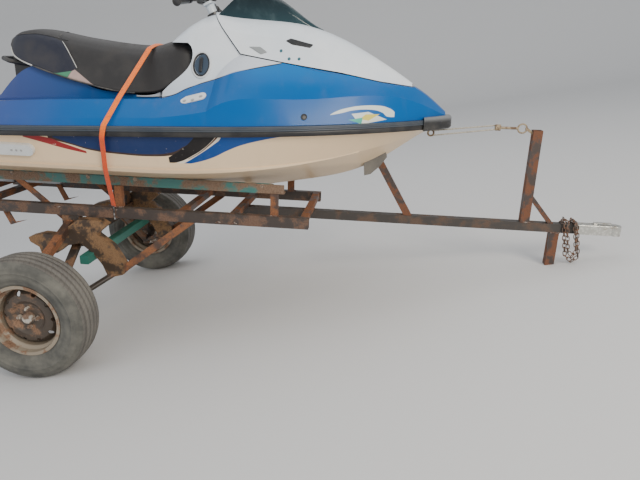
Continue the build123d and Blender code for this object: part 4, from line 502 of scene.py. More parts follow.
tread = [(middle + across, tread_radius(middle) - deep) for middle in GROOVES for across, deep in GROOVE_SHAPE]
tread.insert(len(tread) // 2, (0.0, tread_radius(0)))
edge_radius = tread_radius(TREAD_EDGE) - 0.002
tread = [(-TREAD_EDGE, edge_radius), *tread, (TREAD_EDGE, edge_radius)]
WALL_OUT = (
    # distance out from the wheel's middle, radius
    (0.0825, 0.3125), (0.0865, 0.305), (0.0905, 0.295), (0.0918, 0.2945), (0.0940, 0.283), (0.0966, 0.268),
    (0.0968, 0.2655), (0.0974, 0.2650), (0.0974, 0.2600), (0.0966, 0.2595), (0.0968, 0.244), (0.0948, 0.228),
    (0.0936, 0.2275), (0.0936, 0.2215), (0.0915, 0.2210), (0.0870, 0.2060), (0.0820, 0.1995), (0.0765, 0.1955),
)
INNER_WALL = ((0.0700, 0.1910), (0.0695, 0.1790), (0.0560, 0.1790), (0.0840, 0.2500), (0.0660, 0.3020),
              (0.0, 0.3085))
tyre_ring = [*tread, *WALL_OUT, *INNER_WALL, *[(-y, r) for y, r in reversed(INNER_WALL[:-1])],
             *[(-y, r) for y, r in reversed(WALL_OUT)]]

rubber, rubber_tree, rubber_shader = new_material("tyre_rubber", 0.85)
rubber_place = level_place(rubber_tree)[3]
turn_along, tread_across = map_place(rubber_tree, "tread")
sipe = calc(rubber_tree, "FRACT", calc(rubber_tree, "ADD", turn_along, product(rubber_tree, tread_across, 7.0)))
on_tread = ramp(rubber_tree, tread_across, 1.0, 0.995)
sipe = product(rubber_tree, ramp(rubber_tree, sipe, 0.10, 0.06), ramp(rubber_tree, sipe, 0.0, 0.02), on_tread)
dusty = ramp(rubber_tree, noise(rubber_tree, rubber_place, 7.0, 6.0, 0.62), 0.34, 0.68)
pits = noise(rubber_tree, rubber_place, 210.0, 3.0, 0.6)
tyre_color = mixed(rubber_tree, dusty, (0.055, 0.055, 0.05), (0.15, 0.145, 0.125))
tyre_color = mixed(rubber_tree, product(rubber_tree, on_tread, ramp(rubber_tree, pits, 0.3, 0.6, 0.25, 0.6)),
                   tyre_color, (0.17, 0.155, 0.14))
# Sipes are also painted darker in the colour: painted shade inside the slits, besides their bump.
wire(rubber_tree, rubber_shader,
     mixed(rubber_tree, product(rubber_tree, sipe, 0.45), tyre_color, (0.025, 0.022, 0.02)),
     ramp(rubber_tree, dusty, 0, 1, 0.72, 0.92),
     bumped(rubber_tree, calc(rubber_tree, "SUBTRACT", product(rubber_tree, pits, 0.25), sipe), 0.5, 0.002))

for side, hand in HANDS:
    hub_middle = sum((Vector(corner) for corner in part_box("tyre_" + hand)), Vector()) / 2
    tyre_points = [
        hub_middle + Vector((r * math.cos(a), side * y, r * math.sin(a)))
        for a in (2 * math.pi * i / TYRE_TURNS for i in range(TYRE_TURNS)) for y, r in tyre_ring
    ]
    count = len(tyre_ring)
    tyre = solid("worn_tyre_" + hand, tyre_points, ring_quads(TYRE_TURNS, count, closed=True), rubber)
    tread_map = tyre.data.uv_layers.new(name="tread")
    for face in tyre.data.polygons:
        row, column = divmod(face.index, count)
        for loop in face.loop_indices:
            turn, place = divmod(tyre.data.loops[loop].vertex_index, count)
            turn += TYRE_TURNS if row == TYRE_TURNS - 1 and turn == 0 else 0
            across_tread = place / (len(tread) - 1) if column < len(tread) - 1 else OFF_TREAD
            tread_map.data[loop].uv = (turn * SIPE_TURN, across_tread)
    on_body(tyre, "tyre_rubber", "tyre_" + hand, body="wheel_" + hand)

    def rim_tone(tree, middle=(hub_middle.x, 0, hub_middle.z)):
        """Tan lip and barrel round a brown-black disc; the lip's pale tan is partly its paint and partly a painted
        highlight where it is lit.
        """
        place = tree.nodes.new("ShaderNodeTexCoord").outputs["Object"]
        flat = calc(tree, "MULTIPLY", place, (1, 0, 1), kind="ShaderNodeVectorMath", output="Vector")
        reach = calc(tree, "DISTANCE", flat, middle, kind="ShaderNodeVectorMath")
        return mixed(tree, ramp(tree, reach, 0.148, 0.162), (0.06, 0.045, 0.034), (0.27, 0.225, 0.17))

    dress(steel_material("rim_paint_" + hand, rim_tone, (0.24, 0.14, 0.085), 0.72, 13.0), "rim_" + hand)
    dress(steel_material("hub_rust_" + hand, (0.42, 0.39, 0.34), (0.2, 0.13, 0.09), 0.82, 24.0), "hub_" + hand)
dress(rubber, "bow_chock")

# ---------------------------------------------------------------------------------------------
# Hull: glass-fibre shell in faded cream gelcoat, with sunlight-dulled stripes along its flank and
# painted shade darkening it below the spray lip. The stripes are plain colour fields, laid on level with the craft.
# ---------------------------------------------------------------------------------------------
SHEER_RISE, SHEER_Z = 0.0346, 1.201
EDGE_BLACK = (0.012, 0.012, 0.014)
gel_group, gel_in = new_group("WeatheredGel", Paint=(0.5, 0.5, 0.5, 1), Dirt=0.4, Fade=0.1, Dullness=0.2)
broad = noise(gel_group, gel_in["Place"], 1.7, 5.0)
streaks = noise(gel_group, gel_in["Place"], 13.0, 5.0, 0.6, (1.0, 1.0, 0.14))
specks = noise(gel_group, gel_in["Place"], 95.0, 3.0, 0.7)
fading = product(gel_group, ramp(gel_group, broad, 0.34, 0.7), gel_in["Fade"])
grime = product(gel_group, ramp(gel_group, streaks, 0.5, 0.82), gel_in["Dirt"])
dots = product(gel_group, ramp(gel_group, specks, 0.66, 0.74), gel_in["Dirt"], 0.5)
faded = mixed(gel_group, fading, gel_in["Paint"], (0.8, 0.8, 0.78))
soiled = mixed(gel_group, product(gel_group, grime, 0.4), faded, (0.2, 0.17, 0.125))
patchy = calc(gel_group, "ADD", gel_in["Dullness"], ramp(gel_group, broad, 0.3, 0.7, -0.04, 0.06))
node(gel_group, "NodeGroupOutput",
     Color=mixed(gel_group, dots, soiled, (0.09, 0.075, 0.06)),
     Roughness=calc(gel_group, "ADD", patchy, product(gel_group, grime, 0.35)),
     Height=noise(gel_group, gel_in["Place"], 55.0, 2.0))


def gel_material(name, draw, dirt=0.4, fade=0.1, coat=0.3, dull=0.26, shine=0.5):
    """Glossy weathered moulding; draw is its colour, or gives it from the level place."""
    material, tree, shader = new_material(name, 0.2, coat=coat)
    shader.inputs["Coat Roughness"].default_value = 0.12
    shader.inputs["Specular IOR Level"].default_value = shine
    place = level_place(tree)
    coated(tree, shader, gel_group, 0.12, 0.0006, Place=place[3],
           Paint=draw(tree, *place) if callable(draw) else draw, Dirt=dirt, Fade=fade, Dullness=dull)
    return material


def flat_place(tree, x, z):
    """Vector (x, z, 1) that the edges of colour fields are measured with."""
    return node(tree, "ShaderNodeCombineXYZ", X=x, Y=z, Z=1.0).outputs["Vector"]


def field(tree, flat, points, soft=0.0012):
    """Mask of a convex field with these corners in x and z."""
    area = sum(a[0] * b[1] - b[0] * a[1] for a, b in zip(points, points[1:] + points[:1]))
    ordered = points if area > 0 else points[::-1]
    distances = []
    for a, b in zip(ordered, ordered[1:] + ordered[:1]):
        length = math.hypot(b[0] - a[0], b[1] - a[1])
        normal = ((a[1] - b[1]) / length, (b[0] - a[0]) / length)
        line = (*normal, -a[0] * normal[0] - a[1] * normal[1])
        distances.append(calc(tree, "DOT_PRODUCT", flat, line, kind="ShaderNodeVectorMath"))
    nearest = distances[0]
    for distance in distances[1:]:
        nearest = calc(tree, "MINIMUM", nearest, distance)
    return ramp(tree, nearest, -soft, soft)


def line_height(tree, x, z, points):
    """Height above a smooth line through points in x and z."""
    x_low, x_high = points[0][0], points[-1][0]
    z_low, z_high = min(p[1] for p in points) - 0.01, max(p[1] for p in points) + 0.01
    along = node(tree, "ShaderNodeMapRange", Value=x, From_Min=x_low, From_Max=x_high)
    curve = node(tree, "ShaderNodeFloatCurve", Value=along.outputs["Result"])
    line = curve.mapping.curves[0]
    for index, point in enumerate(points):
        spot = ((point[0] - x_low) / (x_high - x_low), (point[1] - z_low) / (z_high - z_low))
        if index in (0, len(points) - 1):
            line.points[-1 if index else 0].location = spot
        else:
            line.points.new(*spot)
    curve.mapping.update()
    height = node(tree, "ShaderNodeMapRange", Value=curve.outputs["Value"], To_Min=z_low, To_Max=z_high)
    height.clamp = False
    return calc(tree, "SUBTRACT", z, height.outputs["Result"])


def between(tree, x, z, lower, upper, soft=0.0012):
    """Mask of a curved field between two lines, from the start of the first to its end."""
    return product(
        tree,
        ramp(tree, line_height(tree, x, z, lower), -soft, soft),
        ramp(tree, line_height(tree, x, z, upper), soft, -soft),
        ramp(tree, x, lower[0][0] - soft, lower[0][0] + soft),
        ramp(tree, x, lower[-1][0] + soft, lower[-1][0] - soft),
    )


def sheer_rise(tree, x, z):
    """Height above the origin of the craft's sheer, along its slope."""
    return calc(tree, "SUBTRACT", z, product(tree, x, SHEER_RISE))


def above_seam(tree, x, z):
    """Mask above the seam between the two tiers of the rub rail."""
    return ramp(tree, sheer_rise(tree, x, z), SHEER_Z + 0.024, SHEER_Z + 0.027)


# Lines of the hull's graphics: x, z
RAIL_FOOT = ((0.0, 1.30), (1.3, 1.30))
NAVY_EDGE = ((0.077, 1.194), (0.164, 1.168), (0.266, 1.143), (0.421, 1.130), (0.576, 1.128), (0.653, 1.136),
             (0.757, 1.180), (0.834, 1.218), (0.864, 1.245))
NAVY_LINE = ((0.05, 1.185), (0.164, 1.160), (0.266, 1.134), (0.421, 1.120), (0.576, 1.117), (0.66, 1.124),
             (0.757, 1.158), (0.847, 1.206), (0.89, 1.245))
BAND_UPPER = ((0.66, 1.085), (0.712, 1.094), (0.780, 1.127), (0.847, 1.170), (0.896, 1.213), (0.925, 1.245))
BAND_START = ((0.56, 1.085), (0.612, 1.094), (0.68, 1.127), (0.747, 1.170), (0.796, 1.213), (0.825, 1.245),
              (0.95, 1.30))
BROWN_LOWER = ((0.76, 1.110), (0.82, 1.143), (0.87, 1.180), (0.92, 1.225), (0.94, 1.248))
BROWN_UPPER = ((0.76, 1.113), (0.82, 1.148), (0.87, 1.187), (0.92, 1.235), (0.94, 1.256))
SWOOSH_EDGE = ((0.70, 1.070), (0.742, 1.091), (0.805, 1.129), (0.857, 1.163), (0.898, 1.192), (0.928, 1.214),
               (0.96, 1.25))
SWOOSH_UPPER = (*SWOOSH_EDGE, (1.24, 1.30))
SWOOSH_LOWER = ((0.715, 1.076), (0.804, 1.096), (0.883, 1.123), (0.962, 1.163), (1.032, 1.193), (1.135, 1.222),
                (1.235, 1.243))
RED_LOWER = ((-0.085, 1.189), (0.02, 1.163), (0.12, 1.138), (0.235, 1.116))
RED_UPPER = ((-0.085, 1.2), (0.04, 1.192), (0.12, 1.166), (0.235, 1.128))


def hull_colors(tree, x, y, z, vector):
    # Painted shade: the cream turns a darker tan below z 1.075, over the shaded band above the lip and the underside.
    paint = mixed(tree, ramp(tree, z, 1.075, 1.035), (0.80, 0.61, 0.40), (0.66, 0.50, 0.33))
    flank = ramp(tree, z, 1.085, 1.089)
    white = (0.74, 0.68, 0.58)
    scratched = ramp(tree, noise(tree, vector, 60.0, 5.0, 0.7, (0.5, 1.0, 1.0)), 0.66, 0.71)
    for lower, upper, color in (
        (NAVY_LINE, RAIL_FOOT, (0.05, 0.03, 0.025)),
        (NAVY_EDGE, RAIL_FOOT, (0.010, 0.028, 0.11)),
        (RED_LOWER, RED_UPPER, (0.30, 0.022, 0.025)),
        (BAND_UPPER, BAND_START, (0.012, 0.010, 0.011)),
        (SWOOSH_EDGE, BAND_UPPER, white),
        (BROWN_LOWER, BROWN_UPPER, (0.10, 0.035, 0.02)),
        (SWOOSH_LOWER, SWOOSH_UPPER, (0.0, 0.055, 0.25)),
    ):
        paint = mixed(tree, product(tree, between(tree, x, z, lower, upper), flank), paint, color)
    worn_through = product(tree, scratched, flank, ramp(tree, x, 0.95, 0.85), ramp(tree, x, 0.0, 0.1))
    return mixed(tree, above_seam(tree, x, z), mixed(tree, worn_through, paint, white), EDGE_BLACK)


dress(gel_material("hull_gel", hull_colors, dirt=0.22, fade=0.02, coat=0.12, dull=0.36, shine=0.2), "hull")
dress(gel_material("white_moulding", (0.6, 0.62, 0.62), dirt=0.5), "sponsons")
screw_steel = steel_material("screw_steel", (0.36, 0.36, 0.36), (0.16, 0.12, 0.1), 0.2, 60.0)
fastened("sponson_screws", "stainless", "sponsons", [(x, 1.118) for x in (-0.155, -0.129, -0.103)], screw_steel,
         0.0042, 0.0025, 0.0062, sides=12)

# ---------------------------------------------------------------------------------------------
# Deck: glass-fibre moulding in blue metallic gelcoat, with a white tail painted along the foot of
# the seat, a plain crescent mark near the bow and dulled, paler gunwales aft.
# ---------------------------------------------------------------------------------------------
DECK_LINE = ((0.395, 1.384), (0.50, 1.387), (0.60, 1.400), (0.71, 1.445), (0.88, 1.500), (0.99, 1.535),
             (1.205, 1.582), (1.30, 1.60))
ARC_OUTER = ((1.454, 1.347), (1.490, 1.366), (1.526, 1.377), (1.609, 1.390), (1.692, 1.390), (1.735, 1.380),
             (1.769, 1.359))
ARC_INNER = ((1.454, 1.345), (1.499, 1.353), (1.581, 1.370), (1.651, 1.371), (1.708, 1.357), (1.737, 1.337),
             (1.769, 1.335))
MARK_WHITE = (0.62, 0.66, 0.62)


def metallic_blue(tree, x, z, vector):
    """Blue metallic gelcoat, paler and purplish aft, with a fine flake and a painted highlight of lighter blue high on
    the deck ahead.
    """
    paint = mixed(tree, ramp(tree, x, 0.35, -0.45), (0.0, 0.088, 0.31), (0.045, 0.075, 0.25))
    # Painted light: lighter blue where the deck is high ahead, as if lit from above.
    painted_light_ahead = product(tree, ramp(tree, z, 1.44, 1.56), ramp(tree, x, 0.9, 1.1))
    paint = mixed(tree, painted_light_ahead, paint, (0.0, 0.13, 0.40))
    return mixed(tree, ramp(tree, cells(tree, vector, 900.0), 0.3, 0.05, 0, 0.25), paint, (0.01, 0.2, 0.5))


def white_tail(tree, x, z, blue, white):
    """White over blue, parted by the painted line and its thin dark edge."""
    height = line_height(tree, x, z, DECK_LINE)
    edged = mixed(tree, ramp(tree, height, -0.0055, -0.004), blue, (0.012, 0.014, 0.02))
    return mixed(tree, ramp(tree, height, -0.0008, 0.0008), edged, white)


def deck_colors(tree, x, y, z, vector):
    flat = flat_place(tree, x, z)
    blue = metallic_blue(tree, x, z, vector)
    width = calc(tree, "ABSOLUTE", y)
    inner = product(tree, ramp(tree, width, 0.36, 0.35), ramp(tree, x, 0.39, 0.40), ramp(tree, x, 1.2, 1.19))
    paint = mixed(tree, inner, blue, white_tail(tree, x, z, blue, (0.56, 0.6, 0.66)))
    outer = ramp(tree, width, 0.2, 0.21)
    for mask, color in (
        (between(tree, x, z, ARC_INNER, ARC_OUTER), MARK_WHITE),
        (field(tree, flat, [(1.556, 1.351), (1.638, 1.361), (1.731, 1.324), (1.600, 1.301)]), MARK_WHITE),
        (field(tree, flat, [(1.625, 1.349), (1.694, 1.350), (1.641, 1.319), (1.599, 1.327)]), (0.62, 0.52, 0.10)),
        (field(tree, flat, [(1.542, 1.323), (1.612, 1.334), (1.607, 1.305)]), (0.03, 0.36, 0.27)),
    ):
        paint = mixed(tree, product(tree, mask, outer), paint, color)
    on_rail = ramp(tree, sheer_rise(tree, x, z), SHEER_Z + 0.0502, SHEER_Z + 0.049)
    return mixed(tree, on_rail, paint, EDGE_BLACK)


dress(gel_material("deck_gel", deck_colors, dirt=0.25, fade=0.01, coat=0.12, dull=0.34, shine=0.15), "deck")

# ---------------------------------------------------------------------------------------------
# Rub rail: black rubber extrusion in two tiers, its upper tier moulded with shallow grooves, screwed
# over the joint of hull and deck from the stern to the nose cap.
# ---------------------------------------------------------------------------------------------
STERN, BOW, BEAM, STERN_BEAM = -0.840, 2.082, 0.560, 0.520
SIDE_FRONT, SHOULDER_AT, SHOULDER_BEAM = 0.800, 1.804, 0.265
RAIL_END, RAIL_STEPS = 1.926, 70
side_arc = ((SHOULDER_AT - SIDE_FRONT) ** 2 + (BEAM - SHOULDER_BEAM) ** 2) / (2 * (BEAM - SHOULDER_BEAM))
side_turn = math.asin((SHOULDER_AT - SIDE_FRONT) / side_arc)
bow_chord = math.hypot(BOW - SHOULDER_AT, SHOULDER_BEAM)
bow_arc = bow_chord / 2 / math.sin(math.atan2(SHOULDER_BEAM, BOW - SHOULDER_AT) - side_turn)


def rail_beam(x):
    """Half breadth of the joint of hull and deck at x."""
    if x < 0:
        return BEAM - (BEAM - STERN_BEAM) * x / STERN
    if x < SIDE_FRONT:
        return BEAM
    if x < SHOULDER_AT:
        return BEAM - side_arc + math.sqrt(side_arc**2 - (x - SIDE_FRONT) ** 2)
    back = SHOULDER_AT - bow_arc * math.sin(side_turn)
    down = SHOULDER_BEAM - bow_arc * math.cos(side_turn)
    return down + math.sqrt(bow_arc**2 - (x - back) ** 2)


def skin(name, rings, material, ends=True):
    """Closed mesh over a row of closed rings with the same number of points."""
    count = len(rings[0])
    faces = ring_quads(len(rings), count)
    if ends:
        faces += [tuple(reversed(range(count))), tuple(range(len(rings) * count - count, len(rings) * count))]
    return solid(name, [p for ring in rings for p in ring], faces, material)


RAIL_PROFILE = (
    # outward, up
    (0.0005, 0.0005), (0.0115, 0.0005), (0.0126, 0.0030), (0.0126, 0.0225), (0.0116, 0.0245), (0.0150, 0.0250),
    (0.0172, 0.0262), (0.0178, 0.0290), (0.0176, 0.0318), (0.0160, 0.0324), (0.0160, 0.0336), (0.0176, 0.0343),
    (0.0177, 0.0385), (0.0172, 0.0405), (0.0156, 0.0410), (0.0155, 0.0422), (0.0164, 0.0430), (0.0150, 0.0468),
    (0.0118, 0.0490), (0.0060, 0.0497), (0.0005, 0.0497),
)
half_plan = [(x, rail_beam(x)) for x in (
    SIDE_FRONT + (RAIL_END - SIDE_FRONT) * i / RAIL_STEPS for i in range(RAIL_STEPS, -1, -1))]
half_plan += [(0.4, BEAM), (0.0, BEAM), (STERN, STERN_BEAM)]
rail_plan = half_plan + [(x, -y) for x, y in reversed(half_plan)]
rub_rings = []
sheer_up = Vector((-SHEER_RISE, 0, 1)).normalized()
for index, (x, y) in enumerate(rail_plan):
    before = rail_plan[max(index - 1, 0)]
    after = rail_plan[min(index + 1, len(rail_plan) - 1)]
    ways = [Vector((b[0] - a[0], b[1] - a[1], 0)).normalized()
            for a, b in ((before, (x, y)), ((x, y), after)) if a != b]
    sides = [Vector((-way.y, way.x, 0)) for way in ways]
    miter = sum(sides, Vector()) / (1 + sides[0].dot(sides[-1])) if len(sides) > 1 else sides[0]
    out = Vector((-miter.x, -miter.y, -miter.x * SHEER_RISE))
    foot = Vector((x, y, SHEER_Z + SHEER_RISE * x))
    rub_rings.append([parked(*(foot + out * u + sheer_up * v)) for u, v in RAIL_PROFILE])

plastic_group, plastic_in = new_group("MouldedPlastic", Tint=(0.03, 0.03, 0.03, 1), Dust=0.4, Grain=300.0)
plastic_dust = noise(plastic_group, plastic_in["Place"], 9.0, 6.0, 0.62)
settled = product(plastic_group, ramp(plastic_group, plastic_dust, 0.4, 0.72), plastic_in["Dust"])
node(plastic_group, "NodeGroupOutput",
     Color=mixed(plastic_group, settled, plastic_in["Tint"], (0.2, 0.18, 0.15)),
     Roughness=ramp(plastic_group, plastic_dust, 0.35, 0.75, 0.32, 0.6),
     Height=noise(plastic_group, plastic_in["Place"], plastic_in["Grain"], 2.0, 0.5))


def plastic_material(name, draw, dust=0.3):
    """Grained plastic or rubber; draw is its colour, or gives it from the level place."""
    material, tree, shader = new_material(name, 0.45)
    place = level_place(tree)
    coated(tree, shader, plastic_group, 0.35, 0.0005, Place=place[3],
           Tint=draw(tree, *place) if callable(draw) else draw, Dust=dust, Grain=320.0)
    return material


def rail_colors(tree, x, y, z, vector):
    # Painted light and shade: the upper tier lighter blue-grey as lit, the lower tier near black as shaded under it.
    return mixed(tree, above_seam(tree, x, z), (0.008, 0.008, 0.010), (0.035, 0.046, 0.062))


on_body(skin("rub_rail_extrusion", rub_rings, plastic_material("rub_rubber", rail_colors, 0.12)), "rail_black",
        "rub_rail")


def cap_colors(tree, x, y, z, vector):
    scuffs = noise(tree, vector, 60.0, 4.0, 0.7, (0.3, 1.0, 1.0))
    # Painted highlight: the top of the cap is paler grey over its near-black lower part; the scuffs are wear.
    paint = mixed(tree, ramp(tree, z, 1.300, 1.332), (0.010, 0.011, 0.013), (0.17, 0.18, 0.19))
    return mixed(tree, ramp(tree, scuffs, 0.55, 0.75, 0, 0.6), paint, (0.12, 0.12, 0.13))


dress(plastic_material("cap_grey", cap_colors, 0.2), "nose_cap")

# ---------------------------------------------------------------------------------------------
# Cowl: white moulding round the nose of the seat and the forward hatch over the bow's bin, with
# blue flanks that carry on the deck's colour below a thin dark line.
# ---------------------------------------------------------------------------------------------
def cowl_colors(tree, x, y, z, vector):
    white = mixed(tree, ramp(tree, noise(tree, vector, 2.4, 3.0), 0.35, 0.65), (0.60, 0.66, 0.72), (0.70, 0.74, 0.78))
    parted = white_tail(tree, x, z, metallic_blue(tree, x, z, vector), white)
    return mixed(tree, ramp(tree, x, 1.20, 1.21), parted, white)


cowl_gel = gel_material("cowl_gel", cowl_colors, dirt=0.3, fade=0.04, coat=0.12, dull=0.34, shine=0.2)
dress(cowl_gel, "console", "hatch", "steering_column")

# ---------------------------------------------------------------------------------------------
# Deck seal: blue strip along the deck's edge under the hatch, closing the joint to its thin dark
# line.
# ---------------------------------------------------------------------------------------------
SEAM_LINE = ((1.235, 1.5745), (1.483, 1.537), (1.686, 1.497))
SEAL_PROFILE = ((0.0, 0.0), (0.007, 0.0), (0.007, 0.03), (-0.004, 0.03), (-0.003, 0.012))  # inwards, down
SEAL_STEPS = 40
seal_gel = gel_material("seal_gel", (0.0, 0.12, 0.38), dirt=0.2, coat=0.12, dull=0.34, shine=0.15)
for side, hand in HANDS:
    seal_rings = []
    for step in range(SEAL_STEPS + 1):
        x = SEAM_LINE[0][0] + (SEAM_LINE[-1][0] - SEAM_LINE[0][0]) * step / SEAL_STEPS
        (xa, za), (xb, zb) = SEAM_LINE[:2] if x < SEAM_LINE[1][0] else SEAM_LINE[1:]
        top = za + (zb - za) * (x - xa) / (xb - xa) - 0.0012
        flank_y = abs(side_hit("hatch", x, top + 0.012, side)[0].y) - 0.0015
        seal_rings.append([parked(x, side * (flank_y - inwards), top - down) for inwards, down in SEAL_PROFILE])
    on_body(skin("deck_seal_" + hand, seal_rings, seal_gel), "deck_blue")

# ---------------------------------------------------------------------------------------------
# Seat: moulded foam saddle under stretched charcoal vinyl, sewn from a rider's cover and darker
# passenger panels with pale piping between them, and clipped down on the deck's pedestal.
# ---------------------------------------------------------------------------------------------
SEAT_STATIONS = (
    # x, base half width, base height, shoulder half width, shoulder height, crown height
    (-0.392, 0.072, 1.630, 0.050, 1.662, 1.672),
    (-0.320, 0.158, 1.568, 0.098, 1.688, 1.706),
    (-0.180, 0.214, 1.517, 0.122, 1.696, 1.718),
    (0.060, 0.242, 1.452, 0.130, 1.654, 1.681),
    (0.330, 0.262, 1.402, 0.140, 1.624, 1.652),
    (0.470, 0.252, 1.404, 0.152, 1.627, 1.653),
    (0.540, 0.246, 1.418, 0.162, 1.648, 1.672),
    (0.605, 0.237, 1.467, 0.172, 1.658, 1.681),
    (0.660, 0.222, 1.512, 0.170, 1.648, 1.670),
    (0.692, 0.196, 1.556, 0.158, 1.628, 1.648),
    (0.708, 0.158, 1.588, 0.138, 1.610, 1.624),
)
SEAT_SHOULDER, SEAT_ROLL, SEAT_RINGS, SHARES = 0.62, 0.17, 110, 26
# Seam between the passenger's and the rider's covers: x, share of the way from edge to crown
PANEL_SEAM = ((0.035, 0.143), (0.061, 0.206), (-0.013, 0.465), (-0.045, 0.567), (-0.075, 0.70), (-0.085, 1.0))


def eased(rows, x):
    """Values of a table at x, on a smooth curve through its rows."""
    last = len(rows) - 1
    index = max(0, min(last - 1, sum(row[0] <= x for row in rows) - 1))
    before, after = rows[max(index - 1, 0)], rows[min(index + 2, last)]
    start, end = rows[index], rows[index + 1]
    width = end[0] - start[0]
    t = min(max((x - start[0]) / width, 0), 1)
    values = []
    for column in range(1, len(start)):
        slope_in = (end[column] - before[column]) / max(end[0] - before[0], 1e-6) * width
        slope_out = (after[column] - start[column]) / max(after[0] - start[0], 1e-6) * width
        values.append(
            (2 * t**3 - 3 * t**2 + 1) * start[column] + (t**3 - 2 * t**2 + t) * slope_in
            + (3 * t**2 - 2 * t**3) * end[column] + (t**3 - t**2) * slope_out
        )
    return values


def seat_relief(x, share):
    """How far the cover stands out or is drawn in by a seam at a place on the seat."""
    drawn = 0.0010 * math.exp(-(((share - SEAT_SHOULDER) / 0.02) ** 2))
    for (xa, sa), (xb, sb) in zip(PANEL_SEAM, PANEL_SEAM[1:]):
        run = Vector((xb - xa, (sb - sa) * 0.35))
        place = Vector((x - xa, (share - sa) * 0.35))
        t = min(max(place.dot(run) / run.length_squared, 0), 1)
        drawn = max(drawn, 0.0032 * math.exp(-(((place - run * t).length / 0.009) ** 2)))
    puckers = 0.0007 * math.sin(x * 210) * math.exp(-(((share - SEAT_SHOULDER) / 0.06) ** 2))
    return puckers - drawn - 0.0006


def seat_place(x, share):
    """Half breadth, height and outward way of the seat's cover before its shoulder is rounded."""
    base, base_z, shoulder, shoulder_z, crown = eased(SEAT_STATIONS, x)
    if share < SEAT_SHOULDER:
        t = share / SEAT_SHOULDER
        y = base + (shoulder - base) * t
        z = base_z + (shoulder_z - base_z) * t
        lean = math.atan2(base - shoulder, shoulder_z - base_z)
        out = (math.cos(lean), math.sin(lean))
    else:
        t = 1 - (share - SEAT_SHOULDER) / (1 - SEAT_SHOULDER)
        y = shoulder * t
        z = crown - (crown - shoulder_z) * t**2
        out = (0.5 * t, 1.0)
    return Vector((y, z)), Vector(out)


def seat_point(x, share, side=1, raised=0.0):
    """Point of the seat's cover at x: share runs from the bottom edge over the rolled shoulder to the crown."""
    place, out = seat_place(x, share)
    if abs(share - SEAT_SHOULDER) < SEAT_ROLL:
        t = (share - SEAT_SHOULDER + SEAT_ROLL) / (2 * SEAT_ROLL)
        (below, low_out), (corner, _), (above, high_out) = (
            seat_place(x, SEAT_SHOULDER + way * SEAT_ROLL * 0.999) for way in (-1, 0, 1))
        place = below * (1 - t) ** 2 + corner * 2 * t * (1 - t) + above * t**2
        out = low_out * (1 - t) + high_out * t
    out = out.normalized() * raised
    return parked(x, side * (place.x + out.x), place.y + out.y)


def cover_fields(tree):
    """Colours of the seat's sewn panels, from its own map of x and share."""
    flat = flat_place(tree, *map_place(tree, "cover"))
    paint = (0.017, 0.0155, 0.0155)
    for corners, color in (
        ([(-0.36, -0.1), (-0.36, 0.61), (-0.10, 0.61), (-0.045, 0.567), (-0.013, 0.465), (0.061, 0.206),
          (0.035, 0.143), (-0.066, -0.1)], (0.006, 0.008, 0.021)),
        ([(-0.075, 0.0), (0.035, 0.143), (0.012, 0.0), (0.0, -0.06), (-0.06, -0.06)], (0.05, 0.22, 0.12)),
        ([(0.035, 0.143), (0.061, 0.206), (0.157, 0.03), (0.194, -0.02), (0.012, -0.02)], (0.42, 0.30, 0.27)),
    ):
        paint = mixed(tree, field(tree, flat, corners, 0.003), paint, color)
    return paint


vinyl, vinyl_tree, vinyl_shader = new_material("seat_vinyl", 0.5)
seat_vector = level_place(vinyl_tree)[3]
dust = ramp(vinyl_tree, noise(vinyl_tree, seat_vector, 6.0, 6.0, 0.62), 0.42, 0.75)
wire(vinyl_tree, vinyl_shader,
     mixed(vinyl_tree, product(vinyl_tree, dust, 0.35), cover_fields(vinyl_tree), (0.075, 0.068, 0.062)),
     ramp(vinyl_tree, dust, 0, 1, 0.5, 0.68), bumped(vinyl_tree, cells(vinyl_tree, seat_vector, 620.0), 0.3, 0.0007))

shares = [i / SHARES for i in range(SHARES + 1)]
seat_rings, ring_places = [], []
first_x, last_x = SEAT_STATIONS[0][0], SEAT_STATIONS[-1][0]
for step in range(SEAT_RINGS + 1):
    x = first_x + (last_x - first_x) * step / SEAT_RINGS
    half = [seat_point(x, s, 1, seat_relief(x, s)) for s in shares]
    other = [seat_point(x, s, -1, seat_relief(x, s)) for s in reversed(shares[:-1])]
    base, base_z = eased(SEAT_STATIONS, x)[:2]
    seat_rings.append(half + other + [parked(x, -base * k, base_z) for k in (0.7, 0.35, 0.0, -0.35, -0.7)])
    ring_places.append([(x, s) for s in shares] + [(x, s) for s in reversed(shares[:-1])] + [(x, -1.0)] * 5)
for end in (0, -1):
    rim, places = seat_rings[end], ring_places[end]
    middle = sum(rim, Vector()) / len(rim)
    for shrink in (0.86, 0.5):
        at = 0 if end == 0 else len(seat_rings)
        seat_rings.insert(at, [middle + (p - middle) * shrink for p in rim])
        ring_places.insert(at, places)
seat = skin("saddle_seat", seat_rings, vinyl)
cover_map = seat.data.uv_layers.new(name="cover")
flat_places = [place for ring in ring_places for place in ring]
for loop in seat.data.loops:
    cover_map.data[loop.index].uv = flat_places[loop.vertex_index]
finer = seat.modifiers.new("finer", "SUBSURF")
finer.levels = finer.render_levels = 1
on_body(seat, "seat_vinyl", "seat")


def swept(name, path, profile, material, out_ways=None, loop=False):
    """Mesh of a profile (outward, up) carried along a path; out_ways are the outward directions."""
    rings, last, way = [], len(path) - 1, None
    for index, point in enumerate(path):
        ahead_point = path[(index + 1) % len(path)] if loop or index < last else point
        back_point = path[index - 1] if loop or index else point
        run = (ahead_point - back_point).normalized()
        way = out_ways[index] if out_ways else (way or run.orthogonal())
        way = (way - run * way.dot(run)).normalized()
        rise = run.cross(way).normalized()
        rings.append([point + way * u + rise * v for u, v in profile])
    if loop:
        rings.append(rings[0])
    return skin(name, rings, material, ends=not loop)


def round_profile(radius, count=10):
    turn = 2 * math.pi / count
    return [(radius * math.cos(turn * i), radius * math.sin(turn * i)) for i in range(count)]


